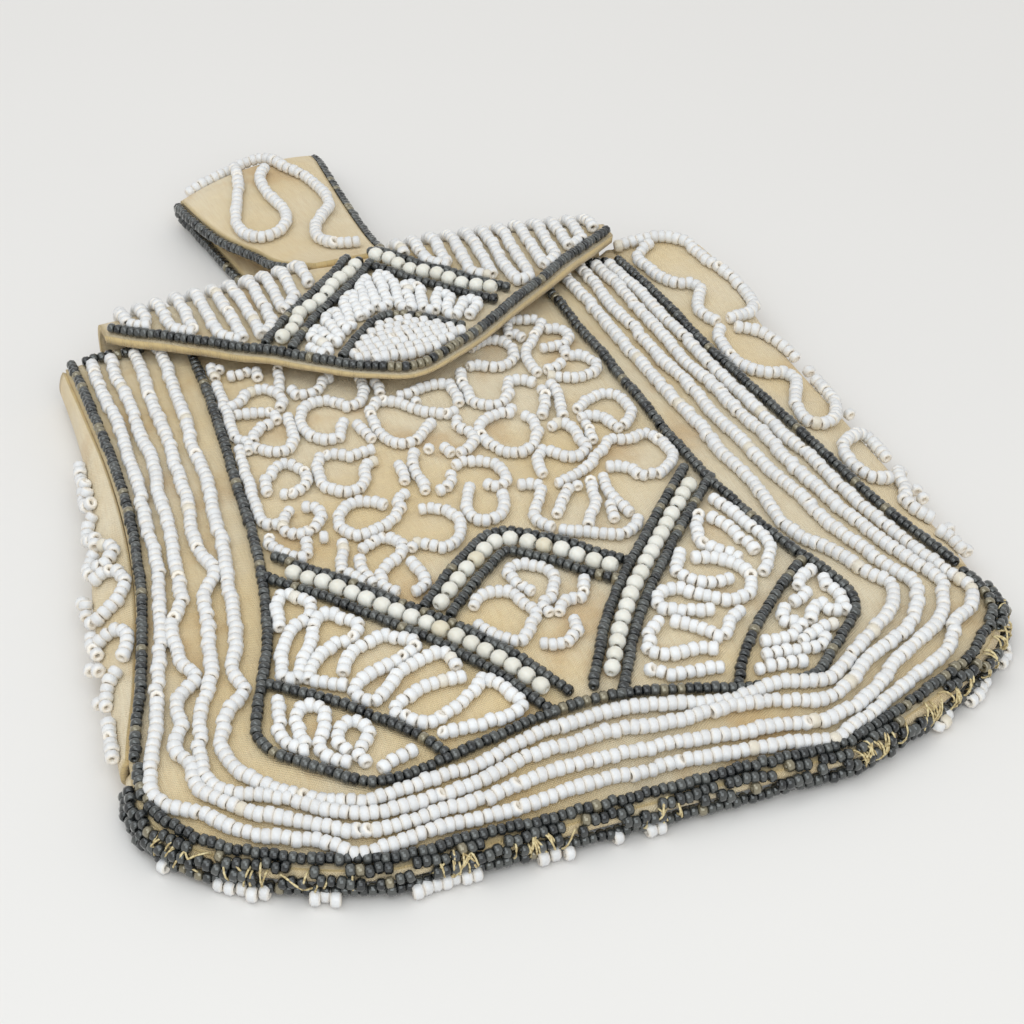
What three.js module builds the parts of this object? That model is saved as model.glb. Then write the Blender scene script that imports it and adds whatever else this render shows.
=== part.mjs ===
// A small beaded evening bag, lying on its back with the flap closed and its front face up.
//
// Lengths are in millimetres. X runs along the top fold, Y from the bottom edge towards the fold and
// the finger loop behind it, and Z up from the surface that the back panel rests on. The origin is
// the middle of the back panel's resting face.

import * as THREE from "three";
import { mergeVertices } from "three/addons/utils/BufferGeometryUtils.js";

const { lerp } = THREE.MathUtils;

// Cloth thicknesses, bead diameters and the clearance between neighbouring pieces
const CLEARANCE = 0.2;
const PANEL_CLOTH = 1.2;
const GUSSET_CLOTH = 1.0;
const FLAP_CLOTH = 1.8;
const LOOP_CLOTH = 1.4;
const BACK_THICKNESS = 2.2;
const BACK_RIM_ROUND = 0.5;
const GUNMETAL_BEAD = 1.6;
const WHITE_BEAD = 1.9;
const CREAM_BEAD = 2.5;

// Body sections from the bottom edge to the mouth. A row pairs a point of the outer seam on each side
// with the point of the inner field outline opposite it, and gives the front panel's height at the
// seam and on the centre line.
const BODY_SECTIONS = [
  { y: -62.0, leftWidth: 32.0, rightWidth: 31.0, fieldX: 27.6, fieldY: -49.8, seamZ: 3.1, crownZ: 3.2 },
  { y: -60.0, leftWidth: 39.0, rightWidth: 37.0, fieldX: 31.4, fieldY: -49.7, seamZ: 3.2, crownZ: 3.7 },
  { y: -52.5, leftWidth: 53.2, rightWidth: 54.0, fieldX: 36.8, fieldY: -45.0, seamZ: 3.5, crownZ: 5.6 },
  { y: -44.0, leftWidth: 59.8, rightWidth: 62.8, fieldX: 42.2, fieldY: -40.0, seamZ: 4.0, crownZ: 6.9 },
  { y: -35.0, leftWidth: 60.2, rightWidth: 62.6, fieldX: 43.2, fieldY: -37.2, seamZ: 4.6, crownZ: 7.7 },
  { y: -20.0, leftWidth: 56.1, rightWidth: 58.0, fieldX: 36.8, fieldY: -19.0, seamZ: 5.6, crownZ: 8.3 },
  { y: -4.0, leftWidth: 52.2, rightWidth: 54.9, fieldX: 33.7, fieldY: -3.0, seamZ: 6.2, crownZ: 8.5 },
  { y: 12.0, leftWidth: 49.9, rightWidth: 52.2, fieldX: 32.4, fieldY: 12.0, seamZ: 6.4, crownZ: 8.5 },
  { y: 28.0, leftWidth: 49.0, rightWidth: 49.5, fieldX: 31.2, fieldY: 28.0, seamZ: 6.4, crownZ: 8.5 },
  { y: 44.0, leftWidth: 49.1, rightWidth: 48.0, fieldX: 30.2, fieldY: 44.0, seamZ: 6.2, crownZ: 8.3 },
  { y: 58.0, leftWidth: 49.4, rightWidth: 46.0, fieldX: 29.8, fieldY: 58.0, seamZ: 5.8, crownZ: 8.0 },
];
const BOTTOM_Y = BODY_SECTIONS[0].y;
const CORNER_Y = -35.0;
const MOUTH_Y = BODY_SECTIONS.at(-1).y;
const FIELD_FOOT_Y = -45.0;
const DOME_POWER = 2.6;
const PANEL_COLUMNS = [-1, -0.9, -0.75, -0.5, -0.25, 0, 0.25, 0.5, 0.75, 0.9, 1];

// Side gussets from the bottom corner upwards: how far each crease stands out from the seam and how
// far it is lifted. The left one is nearly flat at the mouth, and the right one splays open past it.
const GUSSET_SECTIONS = [
  { y: -33.0, leftSpread: 0.8, rightSpread: 2.0, leftLift: 0.0, rightLift: 0.0 },
  { y: -24.0, leftSpread: 2.2, rightSpread: 5.0, leftLift: 0.0, rightLift: 0.0 },
  { y: -12.0, leftSpread: 4.6, rightSpread: 7.6, leftLift: 0.0, rightLift: 0.0 },
  { y: 4.0, leftSpread: 5.6, rightSpread: 9.6, leftLift: 0.0, rightLift: 0.0 },
  { y: 22.0, leftSpread: 3.2, rightSpread: 11.4, leftLift: 0.0, rightLift: 0.3 },
  { y: 42.0, leftSpread: 1.4, rightSpread: 13.2, leftLift: 0.0, rightLift: 1.4 },
  { y: 58.0, leftSpread: 0.8, rightSpread: 14.4, leftLift: 0.0, rightLift: 3.0 },
  { y: 62.5, leftSpread: 0.8, rightSpread: 12.4, leftLift: 0.0, rightLift: 3.3 },
];
// The folded cross-section, from the front seam out to the crease and back to the back seam
const GUSSET_PROFILE = [
  { out: 0.0, up: 1.0 },
  { out: 0.5, up: 0.84 },
  { out: 0.9, up: 0.56 },
  { out: 1.0, up: 0.36 },
  { out: 0.88, up: 0.19 },
  { out: 0.45, up: 0.06 },
  { out: 0.0, up: 0.0 },
];
const GUSSET_LEFT_GAP = 0.75;
const GUSSET_RIGHT_GAP = 0.5;
const GUSSET_ROWS = 12;

// Flap: a rounded point over the front, rolled over the mouth from the back panel's top edge. The
// fold stands further back where the finger loop is sewn on.
const FLAP_LEFT_WIDTH = 42.5;
const FLAP_RIGHT_WIDTH = 45.2;
const FLAP_TIP_Y = 28.8;
const FLAP_EDGE_SLOPE = 0.82;
const FLAP_TIP_ROUND = 6.0;
const FOLD_LINE = [
  { x: -50, y: 60.0 },
  { x: -30, y: 60.0 },
  { x: -18, y: 60.2 },
  { x: -8, y: 61.6 },
  { x: 2, y: 62.4 },
  { x: 20, y: 62.8 },
  { x: 50, y: 62.8 },
];
const FOLD_FOOT_Z = BACK_THICKNESS / 2;
const FLAP_LIFT = PANEL_CLOTH / 2 + WHITE_BEAD + 2 * CLEARANCE + FLAP_CLOTH / 2;
const FLAP_COLUMNS = [
  -1, -0.9, -0.75, -0.6, -0.45, -0.3, -0.2, -0.1, 0, 0.1, 0.2, 0.3, 0.45, 0.6, 0.75, 0.9, 1,
];
const FOLD_STEPS = 8;
const FLAP_ROWS = 6;

// Finger loop, from its upper end behind the fold, round the far end and back along the table.
// The bow lifts the middle of the strap, and the skew turns its far end a little.
const LOOP_SECTIONS = [
  { along: 0, y: 68.6, z: 9.9, middleX: 0.9, halfWidth: 5.7, bow: 0.0, skew: 0.0 },
  { along: 6, y: 74.4, z: 8.1, middleX: -1.2, halfWidth: 7.9, bow: 0.2, skew: 0.4 },
  { along: 14, y: 82.2, z: 6.6, middleX: -2.3, halfWidth: 9.1, bow: 0.6, skew: 1.2 },
  { along: 24, y: 92.0, z: 5.7, middleX: -4.3, halfWidth: 11.1, bow: 1.1, skew: 2.3 },
  { along: 34, y: 102.0, z: 5.3, middleX: -5.6, halfWidth: 12.4, bow: 1.7, skew: 3.3 },
  { along: 39, y: 106.6, z: 5.1, middleX: -6.0, halfWidth: 12.8, bow: 1.9, skew: 3.7 },
  { along: 42, y: 109.0, z: 4.4, middleX: -6.1, halfWidth: 12.8, bow: 1.8, skew: 3.9 },
  { along: 44, y: 109.8, z: 3.1, middleX: -6.0, halfWidth: 12.7, bow: 1.4, skew: 3.9 },
  { along: 46, y: 109.0, z: 1.8, middleX: -5.8, halfWidth: 12.5, bow: 0.8, skew: 3.8 },
  { along: 49, y: 106.6, z: 1.1, middleX: -5.3, halfWidth: 12.1, bow: 0.2, skew: 3.6 },
  { along: 59, y: 97.0, z: 1.0, middleX: -4.5, halfWidth: 11.3, bow: 0.0, skew: 2.6 },
  { along: 74, y: 82.0, z: 1.0, middleX: -3.3, halfWidth: 10.1, bow: 0.0, skew: 1.2 },
  { along: 89, y: 67.2, z: 1.0, middleX: -2.3, halfWidth: 9.1, bow: 0.0, skew: 0.0 },
];
const LOOP_COLUMNS = [-1, -0.6, -0.2, 0.2, 0.6, 1];

// Bead rows: where they lie and how finely they are drawn
const EDGE_ROW_INSET = 1.1;
const BOTTOM_BACK_OUTSET = 1.3;
const BOTTOM_BACK_Z = 1.4;
const ROW_END_CUT = 0.8;
const LINE_SLACK = 0.3;
// White border rows as shares of the way from the field outline to the seam
const BORDER_ROWS = [
  { side: 0.25, bottom: 0.17 },
  { side: 0.45, bottom: 0.36 },
  { side: 0.64, bottom: 0.55 },
  { side: 0.8, bottom: 0.74 },
];
const ROW_HALF_SIDES = 3;
const BORDER_STEPS = 34;
const SEAM_STEPS = 12;
const BOTTOM_STEPS = 24;
const FLAP_EDGE_STEPS = 20;
const LOOP_ROW_STEPS = 26;

// Cream strings: plan points of the right-hand half of each motif, mirrored for the left
const BAND_LINE = [
  { x: 31.0, y: -7.0 },
  { x: 23.5, y: -15.6 },
  { x: 16.2, y: -24.4 },
  { x: 9.5, y: -33.2 },
  { x: 4.6, y: -42.0 },
];
const CHEVRON_LINE = [
  { x: 0.0, y: -11.0 },
  { x: 5.0, y: -14.4 },
  { x: 12.4, y: -21.4 },
];
const FLAP_CHEVRON_LINE = [
  { x: 1.8, y: 61.0 },
  { x: 9.0, y: 54.0 },
  { x: 18.2, y: 44.4 },
];
// One bead of a string: distance along its pitch and radius as a share of its own
const BEAD_PROFILE = [
  { along: 0.0, out: 0.4 },
  { along: 0.25, out: 0.92 },
  { along: 0.75, out: 0.92 },
];
const BEAD_SIDES = 10;
const BEAD_FRAMES = 4;

// Colour, roughness and metalness of each material
const FINISHES = {
  silk: { color: 0xd8c3a2, roughness: 0.75, metalness: 0.0 },
  gunmetal: { color: 0x3d4046, roughness: 0.3, metalness: 0.7 },
  white: { color: 0xe8e4da, roughness: 0.25, metalness: 0.0 },
  cream: { color: 0xe0cfae, roughness: 0.3, metalness: 0.0 },
};

// A smooth reading of a table of sections: give a position and get every other column there.
function readSections(rows, key) {
  const columns = Object.keys(rows[0]).filter((name) => name !== key);
  const curve = new THREE.CubicInterpolant(
    rows.map((row) => row[key]),
    rows.flatMap((row) => columns.map((name) => row[name])),
    columns.length,
    new Float64Array(columns.length),
  );
  return (position) => {
    const values = curve.evaluate(position);
    return Object.fromEntries(columns.map((name, index) => [name, values[index]]));
  };
}

// Evenly spaced values from first to last, both included.
function steps(first, last, count) {
  return Array.from({ length: count + 1 }, (_, index) => lerp(first, last, index / count));
}

// A bare closed mesh: only positions, shared corners joined and flat slivers dropped.
function closedMesh(geometry) {
  geometry.deleteAttribute("normal");
  geometry.deleteAttribute("uv");
  const merged = mergeVertices(geometry, 1e-4);
  const corners = merged.index.array;
  const kept = [];
  for (let first = 0; first < corners.length; first += 3) {
    const triangle = Array.from(corners.slice(first, first + 3));
    if (new Set(triangle).size === 3) kept.push(...triangle);
  }
  merged.setIndex(kept);
  merged.computeVertexNormals();
  return merged;
}

// A cloth wall: the sheet surface(u, v) over the given columns and rows, thickened to both sides.
function clothWall(surface, thickness, columns, rows) {
  const nudge = 1e-3;
  const vertices = [];
  for (const side of [0.5, -0.5]) {
    for (const v of rows) {
      for (const u of columns) {
        const across = surface(u + nudge, v).sub(surface(u - nudge, v));
        const along = surface(u, v + nudge).sub(surface(u, v - nudge));
        const normal = across.cross(along).normalize();
        vertices.push(...surface(u, v).addScaledVector(normal, side * thickness));
      }
    }
  }
  const width = columns.length;
  const layer = width * rows.length;
  const at = (column, row) => row * width + column;
  const lastColumn = width - 1;
  const lastRow = rows.length - 1;
  const faces = [];
  for (let row = 0; row < lastRow; row += 1) {
    for (let column = 0; column < lastColumn; column += 1) {
      const [a, b] = [at(column, row), at(column + 1, row)];
      const [c, d] = [at(column + 1, row + 1), at(column, row + 1)];
      faces.push(a, b, c, a, c, d);
      faces.push(layer + a, layer + c, layer + b, layer + a, layer + d, layer + c);
    }
  }
  const rim = [
    ...columns.slice(0, -1).map((_, column) => at(column, 0)),
    ...rows.slice(0, -1).map((_, row) => at(lastColumn, row)),
    ...columns.slice(0, -1).map((_, column) => at(lastColumn - column, lastRow)),
    ...rows.slice(0, -1).map((_, row) => at(0, lastRow - row)),
  ];
  rim.forEach((here, index) => {
    const next = rim[(index + 1) % rim.length];
    faces.push(layer + here, layer + next, next, layer + here, next, here);
  });
  const geometry = new THREE.BufferGeometry();
  geometry.setAttribute("position", new THREE.Float32BufferAttribute(vertices, 3));
  geometry.setIndex(faces);
  geometry.computeVertexNormals();
  return geometry;
}

// Points evenly spaced along a taut curve through the given ones, cut back at both ends.
function spaced(points, count, cut = 0) {
  const curve = new THREE.CatmullRomCurve3(points, false, "catmullrom", LINE_SLACK);
  const share = cut / curve.getLength();
  return steps(share, 1 - share, count).map((position) => curve.getPointAt(position));
}

// Plan points moved sideways, to the right of the way that the line runs.
function movedAside(points, distance) {
  return points.map((point, index) => {
    const before = points[Math.max(index - 1, 0)];
    const after = points[Math.min(index + 1, points.length - 1)];
    const aside = new THREE.Vector3(after.y - before.y, before.x - after.x, 0).normalize();
    return point.clone().addScaledVector(aside, distance);
  });
}

// A bead row as a slim round tube along the points.
function rowTube(points, diameter) {
  const section = new THREE.Shape();
  section.absarc(0, 0, diameter / 2, 0, 2 * Math.PI);
  const extruded = new THREE.ExtrudeGeometry(section, {
    steps: points.length - 1,
    curveSegments: ROW_HALF_SIDES,
    extrudePath: new THREE.CatmullRomCurve3(points),
  });
  return closedMesh(extruded);
}

// A string of round beads in one body: a straight turned string, bent to the curve of the points.
function beadString(points, diameter) {
  const curve = new THREE.CatmullRomCurve3(points);
  const length = curve.getLength();
  const count = Math.round(length / diameter);
  const pitch = length / count;
  const neck = (BEAD_PROFILE[0].out * diameter) / 2;
  const profile = [new THREE.Vector2(0, 0)];
  for (let bead = 0; bead < count; bead += 1) {
    for (const { along, out } of BEAD_PROFILE) {
      profile.push(new THREE.Vector2((out * diameter) / 2, (bead + along) * pitch));
    }
  }
  profile.push(new THREE.Vector2(neck, length), new THREE.Vector2(0, length));
  const geometry = closedMesh(new THREE.LatheGeometry(profile, BEAD_SIDES));
  const frames = curve.computeFrenetFrames(count * BEAD_FRAMES);
  const position = geometry.getAttribute("position");
  for (let index = 0; index < position.count; index += 1) {
    const share = Math.min(position.getY(index) / length, 1);
    const frame = Math.round(share * count * BEAD_FRAMES);
    const bent = curve.getPointAt(share);
    bent.addScaledVector(frames.binormals[frame], position.getX(index));
    bent.addScaledVector(frames.normals[frame], position.getZ(index));
    position.setXYZ(index, bent.x, bent.y, bent.z);
  }
  geometry.computeVertexNormals();
  return geometry;
}

// The middle of the front panel's cloth: domed across, between the seams.
const bodyAt = readSections(BODY_SECTIONS, "y");
function widthOn(side, { leftWidth, rightWidth }) {
  return side < 0 ? leftWidth : rightWidth;
}
function frontZ(x, y) {
  const section = bodyAt(y);
  const { seamZ, crownZ } = section;
  const across = Math.min(Math.abs(x) / widthOn(x, section), 1);
  return lerp(crownZ, seamZ, across ** DOME_POWER);
}

// Where the flap folds over the mouth, at a place along the fold.
const foldAt = readSections(FOLD_LINE, "x");
function foldY(x) {
  return foldAt(x).y;
}

// The middle of the flap's cloth where it lies over the front.
function flapZ(x, y) {
  return frontZ(x, Math.min(y, MOUTH_Y)) + FLAP_LIFT;
}

// Plan points lifted off a surface, square to it.
function lifted(plan, surfaceZ, height) {
  const nudge = 0.01;
  return plan.map(({ x, y }) => {
    const normal = new THREE.Vector3(
      surfaceZ(x - nudge, y) - surfaceZ(x + nudge, y),
      surfaceZ(x, y - nudge) - surfaceZ(x, y + nudge),
      2 * nudge,
    );
    const point = new THREE.Vector3(x, y, surfaceZ(x, y));
    return point.addScaledVector(normal.normalize(), height);
  });
}

// The body's outer line in plan: the seam of one side between two heights.
function seamLine(side, fromY, toY, count) {
  return steps(fromY, toY, count).map((y) => new THREE.Vector3(side * widthOn(side, bodyAt(y)), y, 0));
}

// The bottom edge in plan from the left corner round to the right one.
function bottomLine() {
  const cornerSteps = 6;
  const left = seamLine(-1, CORNER_Y, BOTTOM_Y, cornerSteps);
  const right = seamLine(1, BOTTOM_Y, CORNER_Y, cornerSteps);
  return [...left, new THREE.Vector3(0, BOTTOM_Y, 0), ...right];
}

// The plan line a share of the way from the field outline to the seam: left side, bottom, right side.
// The share along the bottom passes into the share along the sides at the corners.
function borderLine({ side, bottom }) {
  const sidePoints = (sign) => BODY_SECTIONS.map((section) => {
    const { y, fieldX, fieldY } = section;
    const share = lerp(bottom, side, THREE.MathUtils.smoothstep(y, BOTTOM_Y, CORNER_Y));
    const x = lerp(fieldX, widthOn(sign, section), share);
    return new THREE.Vector3(sign * x, lerp(fieldY, y, share), 0);
  });
  const foot = new THREE.Vector3(0, lerp(FIELD_FOOT_Y, BOTTOM_Y, bottom), 0);
  return [...sidePoints(-1).reverse(), foot, ...sidePoints(1)];
}

function planLine(rows, side = 1) {
  return rows.map(({ x, y }) => new THREE.Vector3(side * x, y, 0));
}

function frontPanel() {
  const rows = [];
  BODY_SECTIONS.slice(0, -1).forEach(({ y }, index) => {
    rows.push(y, lerp(y, BODY_SECTIONS[index + 1].y, 0.5));
  });
  rows.push(MOUTH_Y);
  const surface = (u, y) => {
    const x = u * widthOn(u, bodyAt(y));
    return new THREE.Vector3(x, y, frontZ(x, y));
  };
  return clothWall(surface, PANEL_CLOTH, PANEL_COLUMNS, rows);
}

function backPanel() {
  const sideSteps = 18;
  const topGap = 1.5 * CLEARANCE;
  const top = FOLD_LINE.slice(1, -1).map(({ x, y }) => new THREE.Vector3(x, y - topGap, 0)).reverse();
  const outline = [
    ...seamLine(1, BOTTOM_Y, foldY(FLAP_RIGHT_WIDTH) - topGap, sideSteps),
    ...top,
    ...seamLine(-1, foldY(-FLAP_LEFT_WIDTH) - topGap, BOTTOM_Y, sideSteps),
  ];
  const shape = new THREE.Shape(outline.map(({ x, y }) => new THREE.Vector2(x, y)));
  const plate = new THREE.ExtrudeGeometry(shape, {
    depth: BACK_THICKNESS - 2 * BACK_RIM_ROUND,
    bevelThickness: BACK_RIM_ROUND,
    bevelSize: BACK_RIM_ROUND,
    bevelOffset: -BACK_RIM_ROUND,
    bevelSegments: 2,
  });
  return closedMesh(plate.translate(0, 0, BACK_RIM_ROUND));
}

function gusset(side) {
  const gussetAt = readSections(GUSSET_SECTIONS, "y");
  const profileAt = readSections(GUSSET_PROFILE.map((row, at) => ({ at, ...row })), "at");
  const last = GUSSET_PROFILE.length - 1;
  const backZ = BACK_THICKNESS / 2;
  const seamGap = side > 0 ? GUSSET_RIGHT_GAP : GUSSET_LEFT_GAP;
  const topY = side > 0 ? GUSSET_SECTIONS.at(-1).y : MOUTH_Y;
  const surface = (at, y) => {
    const { leftSpread, rightSpread, leftLift, rightLift } = gussetAt(y);
    const section = bodyAt(y);
    const { out, up } = profileAt(side > 0 ? at : last - at);
    const spread = side > 0 ? rightSpread : leftSpread;
    const lift = side > 0 ? rightLift : leftLift;
    const x = widthOn(side, section) + seamGap + out * spread;
    return new THREE.Vector3(side * x, y, lerp(backZ, section.seamZ, up) + out * lift);
  };
  const rows = steps(GUSSET_SECTIONS[0].y, topY, GUSSET_ROWS);
  return clothWall(surface, GUSSET_CLOTH, steps(0, last, last), rows);
}

function flapEdgeY(x) {
  return FLAP_TIP_Y + Math.hypot(FLAP_EDGE_SLOPE * x, FLAP_TIP_ROUND) - FLAP_TIP_ROUND;
}

function flap() {
  // Rows below 0 go round the fold from the back panel, and rows above it run forward to the edge.
  const surface = (u, row) => {
    const x = u * (u < 0 ? FLAP_LEFT_WIDTH : FLAP_RIGHT_WIDTH);
    const topZ = flapZ(x, MOUTH_Y);
    if (row < 0) {
      const radius = (topZ - FOLD_FOOT_Z) / 2;
      const turn = Math.PI * (row + 0.5);
      const z = FOLD_FOOT_Z + radius * (1 + Math.sin(turn));
      return new THREE.Vector3(x, foldY(x) + radius * Math.cos(turn), z);
    }
    const y = lerp(foldY(x), flapEdgeY(x), row);
    return new THREE.Vector3(x, y, flapZ(x, y));
  };
  const rows = [...steps(-1, 0, FOLD_STEPS), ...steps(0, 1, FLAP_ROWS).slice(1)];
  return clothWall(surface, FLAP_CLOTH, FLAP_COLUMNS, rows);
}

function flapEdgeRow() {
  const left = EDGE_ROW_INSET - FLAP_LEFT_WIDTH;
  const right = FLAP_RIGHT_WIDTH - EDGE_ROW_INSET;
  const edge = steps(left, right, FLAP_EDGE_STEPS).map(
    (x) => new THREE.Vector3(x, flapEdgeY(x), 0),
  );
  const height = FLAP_CLOTH / 2 + CLEARANCE + GUNMETAL_BEAD / 2;
  const plan = spaced(movedAside(edge, -EDGE_ROW_INSET), FLAP_EDGE_STEPS);
  return rowTube(lifted(plan, flapZ, height), GUNMETAL_BEAD);
}

const loopAt = readSections(LOOP_SECTIONS, "along");
function loopSurface(u, along) {
  const { y, z, middleX, halfWidth, bow, skew } = loopAt(along);
  return new THREE.Vector3(middleX + u * halfWidth, y + u * skew, z + bow * (1 - u * u));
}

function fingerLoop() {
  const rows = LOOP_SECTIONS.slice(0, -1).flatMap(({ along }, index) => [
    along,
    lerp(along, LOOP_SECTIONS[index + 1].along, 0.5),
  ]);
  rows.push(LOOP_SECTIONS.at(-1).along);
  return clothWall(loopSurface, LOOP_CLOTH, LOOP_COLUMNS, rows);
}

function loopRow(side) {
  const aside = new THREE.Vector3(side * (GUNMETAL_BEAD / 2 + CLEARANCE), 0, 0);
  const edge = LOOP_SECTIONS.map(({ along }) => loopSurface(side, along).add(aside));
  return rowTube(spaced(edge, LOOP_ROW_STEPS, ROW_END_CUT), GUNMETAL_BEAD);
}

// A row of beads standing on the front panel along a plan line.
function frontRow(plan, diameter) {
  return rowTube(lifted(plan, frontZ, PANEL_CLOTH / 2 + CLEARANCE + diameter / 2), diameter);
}

function seamRow(side) {
  const line = seamLine(side, MOUTH_Y, CORNER_Y, SEAM_STEPS);
  return frontRow(spaced(movedAside(line, side * EDGE_ROW_INSET), SEAM_STEPS, ROW_END_CUT), GUNMETAL_BEAD);
}

function bottomFrontRow() {
  const line = movedAside(spaced(bottomLine(), BOTTOM_STEPS, ROW_END_CUT), -EDGE_ROW_INSET);
  return frontRow(line, GUNMETAL_BEAD);
}

function bottomBackRow() {
  const line = movedAside(spaced(bottomLine(), BOTTOM_STEPS, ROW_END_CUT), BOTTOM_BACK_OUTSET);
  return rowTube(line.map(({ x, y }) => new THREE.Vector3(x, y, BOTTOM_BACK_Z)), GUNMETAL_BEAD);
}

function borderRow(shares, diameter) {
  return frontRow(spaced(borderLine(shares), BORDER_STEPS), diameter);
}

// A string of cream beads standing on the front panel or the flap along a plan line.
function creamString(plan, surfaceZ, cloth) {
  return beadString(lifted(plan, surfaceZ, cloth / 2 + CLEARANCE + CREAM_BEAD / 2), CREAM_BEAD);
}

function piece(name, geometry, finish) {
  const mesh = new THREE.Mesh(geometry, new THREE.MeshStandardMaterial(FINISHES[finish]));
  mesh.name = name;
  return mesh;
}

const body = new THREE.Group();
body.add(
  piece("front_panel", frontPanel(), "silk"),
  piece("back_panel", backPanel(), "silk"),
  piece("gusset_left", gusset(-1), "silk"),
  piece("gusset_right", gusset(1), "silk"),
  piece("seam_beads_left", seamRow(-1), "gunmetal"),
  piece("seam_beads_right", seamRow(1), "gunmetal"),
  piece("bottom_beads_front", bottomFrontRow(), "gunmetal"),
  piece("bottom_beads_back", bottomBackRow(), "gunmetal"),
  piece("field_beads", borderRow({ side: 0, bottom: 0 }, GUNMETAL_BEAD), "gunmetal"),
);
BORDER_ROWS.forEach((shares, index) => {
  body.add(piece(`border_beads_${index + 1}`, borderRow(shares, WHITE_BEAD), "white"));
});
const chevron = [...planLine(CHEVRON_LINE, -1).reverse(), ...planLine(CHEVRON_LINE).slice(1)];
body.add(
  piece("cream_beads_left", creamString(planLine(BAND_LINE, -1), frontZ, PANEL_CLOTH), "cream"),
  piece("cream_beads_right", creamString(planLine(BAND_LINE), frontZ, PANEL_CLOTH), "cream"),
  piece("cream_beads_chevron", creamString(chevron, frontZ, PANEL_CLOTH), "cream"),
);

const closure = new THREE.Group();
closure.add(
  piece("flap", flap(), "silk"),
  piece("flap_edge_beads", flapEdgeRow(), "gunmetal"),
  piece("cream_beads_flap_left", creamString(planLine(FLAP_CHEVRON_LINE, -1), flapZ, FLAP_CLOTH), "cream"),
  piece("cream_beads_flap_right", creamString(planLine(FLAP_CHEVRON_LINE), flapZ, FLAP_CLOTH), "cream"),
);

const carryingLoop = new THREE.Group();
carryingLoop.add(
  piece("finger_loop", fingerLoop(), "silk"),
  piece("loop_beads_left", loopRow(-1), "gunmetal"),
  piece("loop_beads_right", loopRow(1), "gunmetal"),
);

const beadedBag = new THREE.Group();
beadedBag.add(body, closure, carryingLoop);

export default beadedBag;
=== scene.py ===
"""Dress the beaded evening bag.

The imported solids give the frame. Cloth walls are laid over the cloth solids, glass beads are
threaded along every string solid, and the embroidery, stitches and finishes are added.
Lengths are millimetres in the code and metres in the meshes.
"""
import logging
import math
from dataclasses import dataclass
from enum import Enum

import bpy
import numpy as np
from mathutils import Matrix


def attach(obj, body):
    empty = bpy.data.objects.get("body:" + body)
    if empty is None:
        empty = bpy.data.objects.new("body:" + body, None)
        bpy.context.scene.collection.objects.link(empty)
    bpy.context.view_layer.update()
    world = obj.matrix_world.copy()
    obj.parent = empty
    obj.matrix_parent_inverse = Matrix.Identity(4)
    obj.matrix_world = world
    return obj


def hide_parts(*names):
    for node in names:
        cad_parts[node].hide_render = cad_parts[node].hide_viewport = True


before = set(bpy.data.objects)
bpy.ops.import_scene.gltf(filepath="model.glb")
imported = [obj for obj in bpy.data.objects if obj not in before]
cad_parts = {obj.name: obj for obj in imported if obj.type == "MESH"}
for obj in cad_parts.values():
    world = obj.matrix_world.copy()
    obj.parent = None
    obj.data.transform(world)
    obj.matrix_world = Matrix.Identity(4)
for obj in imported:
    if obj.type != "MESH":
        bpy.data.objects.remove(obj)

Array = np.ndarray
Random = np.random.Generator
Piece = bpy.types.Object
Material = bpy.types.Material
NodeTree = bpy.types.NodeTree
Socket = bpy.types.NodeSocket
Span = tuple[float, float]
Points = tuple[Span, ...]
Strands = tuple[Points, ...]
Position = tuple[float, float, float]
Colour = tuple[float, float, float]
LOG = logging.getLogger("beaded_bag")
MM = 0.001
BODY_NAME = "root"
VARIATION_SEED = 1923

# Thicknesses and bead sizes, the same as in the solids
CLEARANCE = 0.2
PANEL_CLOTH = 1.2
GUSSET_CLOTH = 1.0
FLAP_CLOTH = 1.8
LOOP_CLOTH = 1.4
CREAM_BEAD = 2.5

# How deep a bead sinks into its cloth, the step of the outlines and the choice of phases for a sway
BEAD_SEAT = 0.15
OUTLINE_STEP = 0.4
SWAY_PHASES = 6.0

# Places on the body
BOTTOM_Y = -62.0
CORNER_Y = -35.0
FIELD_FOOT_Y = -45.0
MOUTH_Y = 58.0
CROWN_POWER = 2.6
SEAM_INSET = 1.1
BACK_Z = 1.1
BACK_CLOTH_Z = 1.9


class Side(Enum):
    """The two sides of the bag, by the sign of x."""

    LEFT = -1.0
    RIGHT = 1.0

    @property
    def label(self) -> str:
        """Give the side's name in lower case, as the columns and pieces use it."""
        return self.name.lower()


class Slot(Enum):
    """Material slots of the record."""

    SILK = "silk"
    GUNMETAL = "gunmetal"
    WHITE = "white"
    CREAM = "cream"


def smooth_read(keys: Array, values: Array, at: Array, slack: float = 1.0) -> Array:
    """Read a table smoothly: a cubic between two keys whose slopes are the mean of the secants.

    Args:
        keys: Rising keys of the table.
        values: Table values, one row for each key.
        at: Places to read, held inside the table.
        slack: Share of the slopes that is kept.

    Returns:
        The values at those places.
    """
    at = np.clip(at, keys[0], keys[-1])
    rises = (values[1:] - values[:-1]).T / np.diff(keys)
    slopes = np.concatenate(
        [rises[..., :1], 0.5 * (rises[..., 1:] + rises[..., :-1]), rises[..., -1:]], axis=-1
    )
    cell = np.clip(np.searchsorted(keys, at, side="right") - 1, 0, len(keys) - 2)
    width = keys[cell + 1] - keys[cell]
    t = (at - keys[cell]) / width
    columns = values.T
    start, end = columns[..., cell], columns[..., cell + 1]
    bend = slack * slopes[..., cell] * width
    turn = slack * slopes[..., cell + 1] * width
    result = (
        start * (1 + 2 * t) * (1 - t) ** 2
        + bend * t * (1 - t) ** 2
        + end * t**2 * (3 - 2 * t)
        + turn * t**2 * (t - 1)
    )
    return np.moveaxis(result, 0, -1) if values.ndim > 1 else result


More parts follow.
